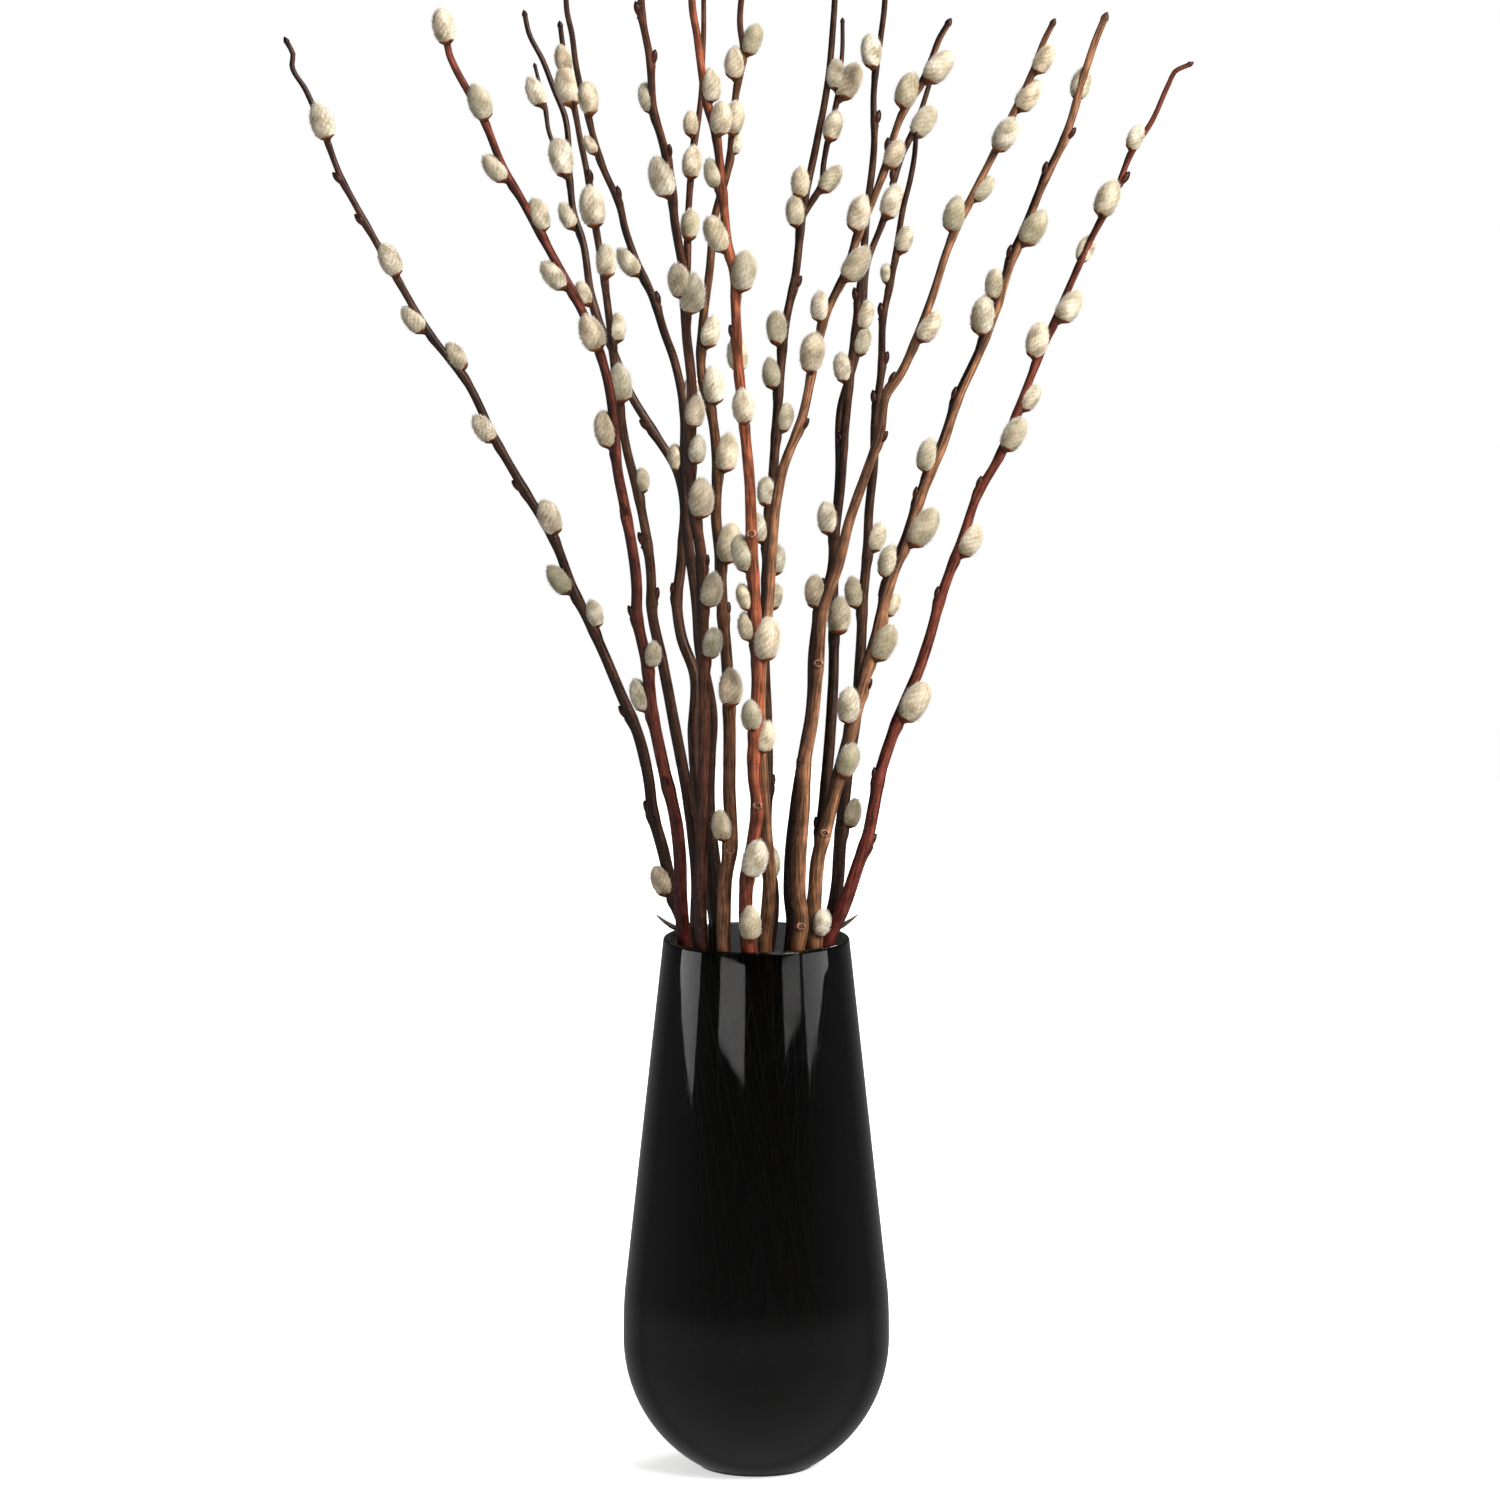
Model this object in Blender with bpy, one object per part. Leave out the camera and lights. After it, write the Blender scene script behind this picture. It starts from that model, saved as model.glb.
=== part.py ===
"""Sixteen pussy-willow stems standing in a tall vase of smoked glass.

Metres, +Z up. The origin is the middle of the vase's foot, on the surface that it
stands on, and -Y is the front. Each stem is one solid: wood, side twig, buds,
bud scales and catkins.
"""
import math
import random

import bmesh
import bpy
from mathutils import Vector

MM = 0.001

# The vase: a straight neck over a round bowl, which is solid glass up to its floor
VASE_HEIGHT = 0.250
RIM_RADIUS = 0.0432
NECK_FOOT_HEIGHT = 0.079
NECK_FOOT_RADIUS = 0.0619
BOWL_ARC = 0.0688
BOWL_CENTRE_OUT = -0.0067
BOWL_CENTRE_UP = 0.0605
RIM_WALL = 0.0040
BOWL_WALL = 0.0054
FLOOR_HEIGHT = 0.050
FLOOR_CORNER = 0.020
RIM_ROUNDING = 0.0012
VASE_SIDES = 44
BOWL_STEPS = 7
CORNER_STEPS = 4

# How the stems stand: feet on the glass floor, crossing inside the neck
SEAT_GAP = 0.0003
FOOT_SPREAD = 0.90
CROSSING_TURN = math.radians(85.0)
LOWER_STEPS = (0.0, 0.45, 0.85)
FOOT_SWELL = 1.04

# The routes below are read from the front in millimetres, on the upright plane
# through the vase's axis, by an eye at this place. A point's depth behind that
# plane moves it along its line of sight.
EYE_ACROSS = -2.96
EYE_HEIGHT = 780.0
EYE_DISTANCE = 3000.0
RIM_UP = 250.0

# A catkin of size 1, and what holds it
CATKIN_LENGTH = 0.0165
CATKIN_RADIUS = 0.0054
CATKIN_RINGS = ((0.12, 0.70), (0.46, 1.0), (0.80, 0.68))
CATKIN_LEAN = math.radians(10.0)
CATKIN_LEAN_SPREAD = math.radians(3.0)
CATKIN_OFF_BARK = 0.14
SCALE_BELOW = 0.0060
BUD_LENGTH = 0.0072
BUD_RADIUS = 0.0019
BUD_LEAN = math.radians(21.0)
BUD_ROOT_BELOW = 0.45
BUD_ROOT_OUT = 0.40
BUD_WIDEST_AT = 0.55
TWIG_START = 0.80
TWIG_END = 0.70
SPUR_RADIUS = 0.0014
SPUR_WIDEST_AT = 0.45
SPUR_SAG = 0.0012

STEM_SIDES = 5
CATKIN_SIDES = 6
BUD_SIDES = 3

# Edges sharper than these stay crisp under smooth shading
GLASS_CREASE = math.radians(40.0)
BARK_CREASE = math.radians(50.0)

# Each stem, left to right. rim: where it passes the rim, across and deep, in mm.
# deep: how far behind the plane its tip is. thick: its radius at the rim and at the
# tip. route: across and up, rim to tip. catkins: height of the base, side in degrees
# round the stem (0 right, 90 behind, 180 left, 270 front), size. buds: height, side.
# spur: a short dry shoot over the vase's rim, its root's height, then its tip's
# across and up.
STEMS = (
    {
        "name": "stem_01", "bark": "dark", "rim": (-32.5, 8.0), "deep": 35.0,
        "thick": (3.0, 1.2),
        "route": (
            (-38, 268), (-43, 290), (-48, 309), (-49.5, 322), (-54, 343), (-63, 365),
            (-74, 391), (-84.5, 413), (-92, 433), (-107, 459), (-120, 482), (-132, 507),
            (-148, 528), (-163, 553), (-178, 580), (-190, 603), (-196, 619),
            (-205, 641), (-211, 652), (-210.5, 657), (-213, 662)),
        "catkins": (
            (270, 200, 0.95), (395, 350, 0.85), (411, 190, 1.0), (438, 350, 1.1),
            (481, 235, 0.95), (513, 20, 0.95), (531, 170, 0.95), (557, 300, 1.05),
            (619, 295, 1.15)),
        "buds": ((310, 180), (355, 180), (460, 180), (582, 190), (601, 180)),
        "spur": (251, -47, 261),
    },
    {
        "name": "stem_02", "bark": "red", "rim": (-33.5, -5.0), "deep": -50.0,
        "thick": (3.2, 1.6),
        "route": (
            (-35, 268), (-35.3, 285), (-36.5, 300), (-43, 330), (-48, 355), (-50.5, 378),
            (-55, 401), (-55, 412), (-60, 448), (-64, 470), (-65, 485), (-67, 503),
            (-71, 519), (-80, 541), (-90, 560), (-100, 578), (-106, 589), (-115, 605),
            (-124.5, 628), (-131, 640), (-137, 651), (-139.5, 657), (-140.5, 662)),
        "catkins": (
            (356, 160, 1.0), (377, 320, 0.8), (478, 165, 1.1), (523, 275, 1.15),
            (551, 185, 1.0), (577, 20, 1.0), (600, 180, 0.95), (628, 300, 1.1)),
        "end_catkin": 1.05,
        "buds": ((322, 260), (401, 180), (448, 250)),
    },
    {
        "name": "stem_03", "bark": "dark", "rim": (-19.0, 27.5), "deep": 110.0,
        "thick": (3.3, 1.2),
        "route": (
            (-22, 280), (-26, 310), (-29, 345), (-28.5, 373), (-34.5, 390), (-36.5, 408),
            (-35, 420), (-33.5, 437), (-33, 450), (-36, 466), (-46, 483), (-58, 503),
            (-66.5, 524), (-71, 533), (-75.5, 548), (-79, 571), (-83.5, 586),
            (-85, 600), (-87.5, 630), (-92, 641), (-97, 654), (-103.5, 667), (-105, 674)),
        "catkins": ((543, 185, 0.8), (578, 160, 0.9), (602, 215, 1.2)),
        "buds": ((411, 180), (437, 320), (488, 180)),
        "twig": ((-85, 599), (-90, 611), (-94.5, 622), (-96, 633), (-98.5, 643), (-100.5, 651)),
        "twig_catkins": ((634, 200, 0.95),),
    },
    {
        "name": "stem_04", "bark": "dark", "rim": (-28.0, 19.0), "deep": 60.0,
        "thick": (3.1, 1.2),
        "route": (
            (-27.5, 280), (-29.5, 300), (-32, 318), (-38, 350), (-43.5, 380), (-48, 402),
            (-48.5, 420), (-53, 450), (-56, 463), (-59.5, 477), (-63, 500), (-65, 515),
            (-66.5, 530), (-70, 558), (-74, 583), (-76, 597), (-80.5, 620), (-83, 634),
            (-88, 661), (-89, 669)),
        "catkins": (
            (457, 10, 0.75), (499, 300, 1.15), (526, 30, 0.9), (556, 310, 1.0),
            (579, 270, 1.25), (634, 250, 1.2), (649, 255, 0.85)),
        "buds": ((409, 0), (435, 170), (601, 300)),
    },
    {
        "name": "stem_05", "bark": "dark", "rim": (-17.0, 10.0), "deep": 0.0,
        "thick": (3.2, 1.2),
        "route": (
            (-19.5, 285), (-22, 310), (-21.5, 335), (-20.5, 352), (-26, 385),
            (-27.5, 405), (-32, 440), (-33.5, 460), (-33.5, 498), (-38, 519),
            (-42, 530), (-46, 543), (-56, 566), (-60, 578), (-62, 587), (-70, 606),
            (-77, 630), (-82, 652), (-84, 667), (-86, 676), (-86.5, 690)),
        "catkins": (
            (467, 150, 0.8), (498, 20, 0.85), (557, 180, 0.95), (612, 200, 0.6),
            (630, 320, 1.0)),
        "buds": ((545, 0), (593, 0)),
    },
    {
        "name": "stem_06", "bark": "brown", "rim": (-25.0, -22.0), "deep": -80.0,
        "thick": (3.2, 1.6),
        "route": (
            (-26, 275), (-25, 300), (-24, 330), (-24, 370), (-25, 410), (-25.5, 428),
            (-29, 450), (-30.5, 478), (-29.5, 505), (-32, 530), (-33, 555), (-37.5, 583),
            (-38.5, 597), (-43, 618), (-46.5, 630), (-48.5, 655), (-52, 675), (-52.5, 690)),
        "catkins": (
            (381, 330, 0.95), (405, 335, 1.05), (446, 335, 1.2), (471, 330, 0.85),
            (488, 300, 0.95), (540, 320, 1.2), (547, 235, 1.05), (593, 190, 1.2),
            (631, 140, 0.85)),
        "buds": ((424, 0), (612, 0), (655, 0), (677, 180)),
        "twig": (
            (-33, 549), (-31.5, 560), (-31.5, 572), (-31, 586), (-30, 600), (-28.5, 615),
            (-26.5, 627), (-25, 640), (-24.5, 655), (-24, 668), (-24, 682)),
        "twig_deep": -36.0,
        "twig_catkins": ((573, 285, 0.9), (601, 270, 0.95), (620, 185, 0.75)),
    },
    {
        "name": "stem_07", "bark": "brown", "rim": (-15.0, -30.0), "deep": -45.0,
        "thick": (3.3, 1.3),
        "route": (
            (-15, 262), (-14.5, 275), (-12, 292), (-12.5, 320), (-12.5, 350), (-13.5, 378),
            (-15.5, 400), (-17, 430), (-18.5, 445), (-18, 467), (-21, 495), (-24.5, 507),
            (-25.5, 518), (-24.5, 535), (-21.5, 558), (-19, 583), (-13, 605), (-9.5, 638),
            (-6, 658), (-7.5, 670), (-6, 690)),
        "catkins": (
            (296, 215, 0.95), (359, 285, 1.15), (425, 340, 1.2), (467, 0, 1.15),
            (498, 0, 1.1), (524, 350, 0.95), (612, 20, 0.65), (621, 275, 1.0),
            (646, 180, 0.95), (657, 0, 0.95)),
        "buds": ((291, 270), (402, 0)),
    },
    {
        "name": "stem_08", "bark": "orange", "rim": (-3.5, -33.5), "deep": -110.0,
        "thick": (3.3, 1.6),
        "route": (
            (-5, 262), (-4.5, 276), (-1, 298), (0.5, 312), (-1, 325), (0, 355),
            (0.5, 370), (-0.5, 400), (-2.3, 438), (-3, 460), (-5.5, 487), (-8.5, 518),
            (-9.5, 542), (-10, 556), (-13, 570), (-15.5, 595), (-19, 622), (-22.5, 634),
            (-25, 650), (-27, 665), (-29, 677), (-29.5, 690)),
        "catkins": (
            (254, 290, 1.05), (280, 290, 1.2), (337, 5, 0.95), (348, 240, 0.95),
            (380, 350, 1.3), (389, 175, 0.85), (403, 170, 0.8), (421, 165, 1.1),
            (490, 275, 1.05), (513, 90, 1.0), (550, 345, 1.2), (568, 190, 1.1),
            (597, 170, 0.85), (621, 330, 1.0), (636, 0, 0.95)),
        "buds": ((312, 270), (438, 270), (530, 180), (595, 180)),
    },
    {
        "name": "stem_09", "bark": "dark", "rim": (7.0, 32.0), "deep": 100.0,
        "thick": (3.2, 1.4),
        "route": (
            (7.5, 268), (5, 285), (4.3, 300), (4.8, 325), (4.5, 355), (3.5, 380),
            (4.5, 410), (5.5, 440), (8, 470), (9, 487), (11.5, 518), (13, 533),
            (18, 558), (19.5, 572), (21.5, 588), (27, 615), (32.5, 645), (35, 674),
            (36, 690)),
        "catkins": (
            (279, 285, 1.05), (403, 10, 0.8), (419, 10, 0.95), (434, 180, 0.9),
            (451, 225, 0.9), (485, 15, 0.9), (505, 185, 0.95), (525, 190, 1.05),
            (579, 190, 0.95), (592, 185, 0.95)),
        "buds": ((322, 0), (553, 0)),
        "twig": (
            (21, 583), (25, 590), (29.5, 598), (30.5, 607), (32, 616), (35, 630),
            (37, 638), (38.3, 650), (39, 660), (39, 671)),
        "twig_catkins": ((595, 0, 0.95), (618, 290, 0.95), (637, 350, 1.2), (641, 230, 0.95)),
    },
    {
        "name": "stem_10", "bark": "brown", "rim": (4.0, -10.0), "deep": -30.0,
        "thick": (3.2, 1.4),
        "route": (
            (6, 275), (4, 303), (2, 340), (2, 375), (5.5, 405), (7, 430), (9.5, 455),
            (12, 467), (20.5, 490), (26, 515), (31.5, 538), (41.5, 560), (45, 571),
            (53.5, 592), (58, 604), (65, 627), (76, 646), (80, 656), (83, 664), (86.5, 670)),
        "catkins": (
            (513, 245, 1.2), (536, 185, 0.9), (555, 320, 1.15), (577, 180, 1.1),
            (606, 310, 0.9), (633, 175, 1.1), (645, 345, 1.15)),
        "buds": ((488, 0), (615, 180)),
    },
    {
        "name": "stem_11", "bark": "dark", "rim": (17.0, 28.0), "deep": 80.0,
        "thick": (3.1, 1.3),
        "route": (
            (15.5, 270), (16, 290), (17.5, 305), (21.5, 333), (25.5, 358), (26.5, 385),
            (30.5, 408), (34, 418), (36, 438), (38.5, 460), (40.5, 487), (43, 512),
            (46, 538), (48.5, 562), (50.5, 587), (53.5, 615), (53.3, 640), (56, 662),
            (58, 678), (58.5, 688)),
        "catkins": (
            (404, 190, 1.0), (438, 185, 1.0), (508, 185, 0.9),
            (520, 10, 0.9), (532, 15, 0.9), (651, 190, 1.05)),
        "buds": ((413, 180), (481, 180), (547, 180), (628, 0)),
    },
    {
        "name": "stem_12", "bark": "dark", "rim": (26.0, 20.0), "deep": 110.0,
        "thick": (3.1, 1.2),
        "route": (
            (26, 265), (28, 280), (31.5, 315), (34, 345), (35.5, 375), (35.5, 395),
            (35.5, 425), (38, 465), (38.5, 495), (45.5, 520), (48.5, 540), (50.5, 562),
            (57.5, 581), (60.5, 592), (66, 610), (75, 632), (79, 645)),
        "catkins": ((392, 305, 1.15), (583, 300, 1.1), (620, 350, 1.1)),
        "buds": ((302, 180), (540, 0), (602, 180)),
    },
    {
        "name": "stem_13", "bark": "dark", "rim": (32.5, 9.0), "deep": 40.0,
        "thick": (3.2, 1.2),
        "route": (
            (36, 265), (39, 298), (42, 328), (46, 355), (48, 385), (49, 407), (51, 432),
            (51.5, 447), (54, 474), (54, 487), (57, 512), (58, 538), (61, 552),
            (63.5, 566), (67, 588), (70, 600), (72, 612), (72.5, 619)),
        "catkins": (
            (302, 350, 0.9), (404, 175, 0.95), (430, 0, 0.9), (553, 160, 0.6),
            (567, 350, 0.85)),
        "buds": ((500, 180), (518, 0), (540, 180)),
        "spur": (251, 47.5, 261),
    },
    {
        "name": "stem_14", "bark": "brown", "rim": (19.0, -27.0), "deep": -80.0,
        "thick": (3.2, 1.3),
        "route": (
            (21, 257), (19.8, 270), (20, 285), (22, 315), (22.5, 332), (25.5, 350),
            (28.5, 378), (30.5, 402), (37.5, 423), (43, 445), (50, 465), (56.5, 484),
            (60, 503), (65, 510), (74, 530), (81, 549), (87, 568), (96, 588),
            (108, 612), (117, 631), (125, 648), (131, 664), (134, 670)),
        "catkins": (
            (527, 350, 1.0), (577, 175, 1.05), (591, 15, 0.85), (614, 285, 1.1),
            (632, 10, 1.0), (649, 350, 0.9)),
        "buds": ((256, 270), (330, 180), (378, 270), (482, 0), (508, 180)),
    },
    {
        "name": "stem_15", "bark": "tan", "rim": (26.5, -18.0), "deep": -40.0,
        "thick": (3.4, 1.6),
        "route": (
            (27, 270), (28.5, 287), (31.5, 299), (38, 326), (44.5, 350), (50.5, 374),
            (57, 397), (60, 412), (68, 433), (75.5, 456), (85.5, 480), (92, 500),
            (102, 522), (110, 543), (116, 563), (124, 582), (129, 595), (141, 621),
            (149, 648), (155, 666), (157.5, 672)),
        "catkins": (
            (254, 310, 0.85), (326, 305, 1.05), (351, 215, 1.1), (380, 340, 1.15),
            (400, 20, 0.7), (418, 170, 1.0), (433, 350, 1.3), (467, 175, 1.0),
            (530, 190, 1.15), (546, 180, 0.9), (571, 350, 1.15), (637, 90, 0.95)),
        "buds": (
            (299, 270), (367, 0), (413, 180), (455, 180), (501, 180), (566, 180),
            (604, 180), (621, 0)),
    },
    {
        "name": "stem_16", "bark": "red", "rim": (33.8, -4.0), "deep": 20.0,
        "thick": (3.2, 1.1),
        "route": (
            (39.5, 262), (47, 284), (51.5, 297), (54, 310), (57, 326), (65, 351),
            (75.5, 377), (80, 391), (84, 406), (96, 440), (101, 455), (110, 471),
            (119, 493), (127, 514), (136, 535), (144, 554), (152, 572), (163.5, 594),
            (170, 611), (180, 627), (187.5, 644), (190, 649), (196, 652)),
        "catkins": (
            (352, 330, 1.3), (428, 355, 1.05), (477, 310, 1.1), (495, 15, 0.9),
            (519, 180, 1.1), (536, 350, 1.1), (563, 90, 0.85), (584, 230, 1.15),
            (614, 180, 0.8)),
        "buds": ((295, 0), (325, 180), (409, 180), (460, 180), (601, 0)),
    },
)

BARK_COLOURS = {
    "dark": (0.045, 0.018, 0.012),
    "red": (0.100, 0.028, 0.018),
    "brown": (0.120, 0.055, 0.028),
    "orange": (0.260, 0.085, 0.030),
    "tan": (0.200, 0.100, 0.045),
}


def clear_scene():
    """Take every object out of the scene."""
    for thing in list(bpy.data.objects):
        bpy.data.objects.remove(thing, do_unlink=True)


def bark_material(shade):
    """Thin smooth willow bark, slightly glossy."""
    material = bpy.data.materials.new("willow_bark_" + shade)
    material.use_nodes = True
    shader = material.node_tree.nodes["Principled BSDF"]
    shader.inputs["Base Color"].default_value = (*BARK_COLOURS[shade], 1.0)
    shader.inputs["Roughness"].default_value = 0.38
    shader.inputs["Metallic"].default_value = 0.0
    return material


def glass_material():
    """Smoked soda-lime glass, close to black."""
    material = bpy.data.materials.new("smoked_glass")
    material.use_nodes = True
    shader = material.node_tree.nodes["Principled BSDF"]
    shader.inputs["Base Color"].default_value = (0.020, 0.021, 0.024, 1.0)
    shader.inputs["Roughness"].default_value = 0.04
    shader.inputs["Metallic"].default_value = 0.0
    return material


def bowl_radius(height):
    """Outer radius of the bowl at a height, on a round arc about its own centre."""
    return BOWL_CENTRE_OUT + math.sqrt(BOWL_ARC ** 2 - (height - BOWL_CENTRE_UP) ** 2)


def vase_profile():
    """Radius and height round the glass, from the foot up the outside and down inside."""
    outside = []
    for step in range(BOWL_STEPS + 1):
        height = BOWL_CENTRE_UP * step / BOWL_STEPS
        outside.append((bowl_radius(height), height))
    outside.append((NECK_FOOT_RADIUS, NECK_FOOT_HEIGHT))
    outside.append((RIM_RADIUS, VASE_HEIGHT - RIM_ROUNDING))
    rim = [(RIM_RADIUS - RIM_ROUNDING, VASE_HEIGHT)]
    inner_rim = RIM_RADIUS - RIM_WALL
    rim.append((inner_rim + RIM_ROUNDING, VASE_HEIGHT))
    inside = [(inner_rim, VASE_HEIGHT - RIM_ROUNDING)]
    inner_foot = NECK_FOOT_RADIUS - BOWL_WALL
    inside.append((inner_foot, NECK_FOOT_HEIGHT))
    for step in range(CORNER_STEPS + 1):
        turn = math.radians(90.0) * step / CORNER_STEPS
        radius = inner_foot - FLOOR_CORNER * (1.0 - math.cos(turn))
        height = FLOOR_HEIGHT + FLOOR_CORNER * (1.0 - math.sin(turn))
        inside.append((radius, height))
    return outside + rim + inside


def make_vase():
    """Turn the profile about the upright axis, with a flat foot and a flat floor."""
    mesh = bpy.data.meshes.new("vase")
    form = bmesh.new()
    rings = []
    for radius, height in vase_profile():
        ring = []
        for side in range(VASE_SIDES):
            turn = math.tau * side / VASE_SIDES
            ring.append(form.verts.new((radius * math.cos(turn), radius * math.sin(turn), height)))
        rings.append(ring)
    for lower, upper in zip(rings, rings[1:]):
        for side in range(VASE_SIDES):
            other = (side + 1) % VASE_SIDES
            form.faces.new((lower[side], lower[other], upper[other], upper[side]))
    form.faces.new(list(reversed(rings[0])))
    form.faces.new(rings[-1])
    form.to_mesh(mesh)
    form.free()
    vase = bpy.data.objects.new("vase", mesh)
    bpy.context.scene.collection.objects.link(vase)
    mesh.shade_smooth()
    mesh.set_sharp_from_angle(angle=GLASS_CREASE)
    mesh.materials.append(glass_material())


def seen_point(across, up, deep):
    """The real place, in metres, of a point seen from the front at a depth in mm."""
    reach = (EYE_DISTANCE + deep) / EYE_DISTANCE
    return Vector((
        (EYE_ACROSS + (across - EYE_ACROSS) * reach) * MM,
        deep * MM,
        (EYE_HEIGHT + (up - EYE_HEIGHT) * reach) * MM))


def depth_at(stem, up):
    """Depth of the stem at a seen height, in mm: an even lean from rim to tip."""
    share = (up - RIM_UP) / (stem["route"][-1][1] - RIM_UP)
    return stem["rim"][1] + (stem["deep"] - stem["rim"][1]) * share


def radius_at(stem, up):
    """Radius of the wood at a seen height, in metres."""
    share = (up - RIM_UP) / (stem["route"][-1][1] - RIM_UP)
    rim_radius, tip_radius = stem["thick"]
    return (rim_radius + (tip_radius - rim_radius) * share) * MM


def open_centres(stem):
    """Centre, radius and seen height along the open part, from the rim to the tip."""
    across, deep = stem["rim"]
    rim_radius = stem["thick"][0] * MM
    centres = [(Vector((across * MM, deep * MM, VASE_HEIGHT)), rim_radius, RIM_UP)]
    for across, up in stem["route"]:
        place = seen_point(across, up, depth_at(stem, up))
        centres.append((place, radius_at(stem, up), up))
    return centres


def inner_centres(stem):
    """Centre and radius inside the vase, from the foot on the floor up to the neck."""
    rim = Vector((stem["rim"][0] * MM, stem["rim"][1] * MM, VASE_HEIGHT))
    cosine = math.cos(CROSSING_TURN) * FOOT_SPREAD
    sine = math.sin(CROSSING_TURN) * FOOT_SPREAD
    foot = Vector((
        rim.x * cosine - rim.y * sine,
        rim.x * sine + rim.y * cosine,
        FLOOR_HEIGHT + SEAT_GAP))
    rim_radius = stem["thick"][0] * MM
    centres = []
    for share in LOWER_STEPS:
        swell = FOOT_SWELL + (1.0 - FOOT_SWELL) * share
        centres.append((foot.lerp(rim, share), rim_radius * swell))
    return centres


def twig_centres(stem):
    """Centre, radius and seen height along a side twig, from its fork to its tip."""
    route = stem["twig"]
    first, last = route[0][1], route[-1][1]
    start_deep = depth_at(stem, first)
    end_deep = stem.get("twig_deep", depth_at(stem, last))
    start_radius = radius_at(stem, first) * TWIG_START
    end_radius = stem["thick"][1] * TWIG_END * MM
    centres = []
    for across, up in route:
        share = (up - first) / (last - first)
        place = seen_point(across, up, start_deep + (end_deep - start_deep) * share)
        centres.append((place, start_radius + (end_radius - start_radius) * share, up))
    return centres


def place_on(centres, up):
    """Point, direction and radius where a run of centres passes a seen height."""
    for lower, upper in zip(centres, centres[1:]):
        if up <= upper[2]:
            break
    share = (up - lower[2]) / (upper[2] - lower[2])
    point = lower[0].lerp(upper[0], share)
    radius = lower[1] + (upper[1] - lower[1]) * share
    return point, (upper[0] - lower[0]).normalized(), radius


def side_of(degrees):
    """Level unit vector out of the wood, on the given side."""
    turn = math.radians(degrees)
    return Vector((math.cos(turn), math.sin(turn), 0.0))


def leaning(direction, out, lean):
    """Direction along the wood, tipped away from it towards its outer side."""
    square = (out - direction * out.dot(direction)).normalized()
    return direction * math.cos(lean) + square * math.sin(lean)


def square_to(direction):
    """Two unit vectors square to a direction, the first as level as can be."""
    first = Vector((1.0, 0.0, 0.0))
    first = (first - direction * first.dot(direction)).normalized()
    return first, direction.cross(first)


def link_mesh(name, form, collection):
    """Make an object of a bmesh in a collection."""
    mesh = bpy.data.meshes.new(name)
    form.to_mesh(mesh)
    form.free()
    thing = bpy.data.objects.new(name, mesh)
    collection.objects.link(thing)
    return thing


def ring_of(form, centre, direction, radius, sides):
    """A ring of points square to a direction."""
    first, second = square_to(direction)
    ring = []
    for side in range(sides):
        turn = math.tau * side / sides
        ring.append(form.verts.new(
            centre + first * (radius * math.cos(turn)) + second * (radius * math.sin(turn))))
    return ring


def skin(form, rings):
    """Side faces between rings that follow one another."""
    for lower, upper in zip(rings, rings[1:]):
        count = len(lower)
        for side in range(count):
            other = (side + 1) % count
            form.faces.new((lower[side], lower[other], upper[other], upper[side]))


def make_rod(name, centres, collection, level_foot):
    """A tapering rod through its centres, cut square at both ends."""
    form = bmesh.new()
    rings = []
    last = len(centres) - 1
    for number, centre in enumerate(centres):
        before = centres[max(number - 1, 0)][0]
        after = centres[min(number + 1, last)][0]
        direction = (after - before).normalized()
        if number == 0 and level_foot:
            direction = Vector((0.0, 0.0, 1.0))
        rings.append(ring_of(form, centre[0], direction, centre[1], STEM_SIDES))
    skin(form, rings)
    form.faces.new(list(reversed(rings[0])))
    form.faces.new(rings[-1])
    return link_mesh(name, form, collection)


def make_spindle(name, root, tip, rings_at, sides, collection):
    """A closed body with pointed ends, through rings given as centre and radius."""
    form = bmesh.new()
    rings = []
    for number, (centre, radius) in enumerate(rings_at):
        before = rings_at[number - 1][0] if number else root
        after = rings_at[number + 1][0] if number + 1 < len(rings_at) else tip
        rings.append(ring_of(form, centre, (after - before).normalized(), radius, sides))
    skin(form, rings)
    bottom = form.verts.new(root)
    top = form.verts.new(tip)
    for side in range(sides):
        other = (side + 1) % sides
        form.faces.new((bottom, rings[0][other], rings[0][side]))
        form.faces.new((top, rings[-1][side], rings[-1][other]))
    return link_mesh(name, form, collection)


def catkin_rings(base, tip, width):
    """Ring centres and radii of a catkin between its base and its tip."""
    return [(base.lerp(tip, share), width * wide) for share, wide in CATKIN_RINGS]


def add_catkin(label, centres, catkin, draw, collection):
    """A catkin beside the wood, on a bud scale that runs down into it."""
    up, degrees, size = catkin
    point, direction, radius = place_on(centres, up)
    out = side_of(degrees)
    lean = CATKIN_LEAN + draw.uniform(-CATKIN_LEAN_SPREAD, CATKIN_LEAN_SPREAD)
    width = CATKIN_RADIUS * size
    base = point + out * (radius + width * CATKIN_OFF_BARK)
    tip = base + leaning(direction, out, lean) * (CATKIN_LENGTH * size)
    root = point - direction * SCALE_BELOW
    make_spindle(label, root, tip, catkin_rings(base, tip, width), CATKIN_SIDES, collection)


def add_end_catkin(label, centres, size, collection):
    """A catkin at the very tip of a stem."""
    direction = (centres[-1][0] - centres[-2][0]).normalized()
    base = centres[-1][0]
    tip = base + direction * (CATKIN_LENGTH * size)
    root = base - direction * SCALE_BELOW
    width = CATKIN_RADIUS * size
    make_spindle(label, root, tip, catkin_rings(base, tip, width), CATKIN_SIDES, collection)


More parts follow.
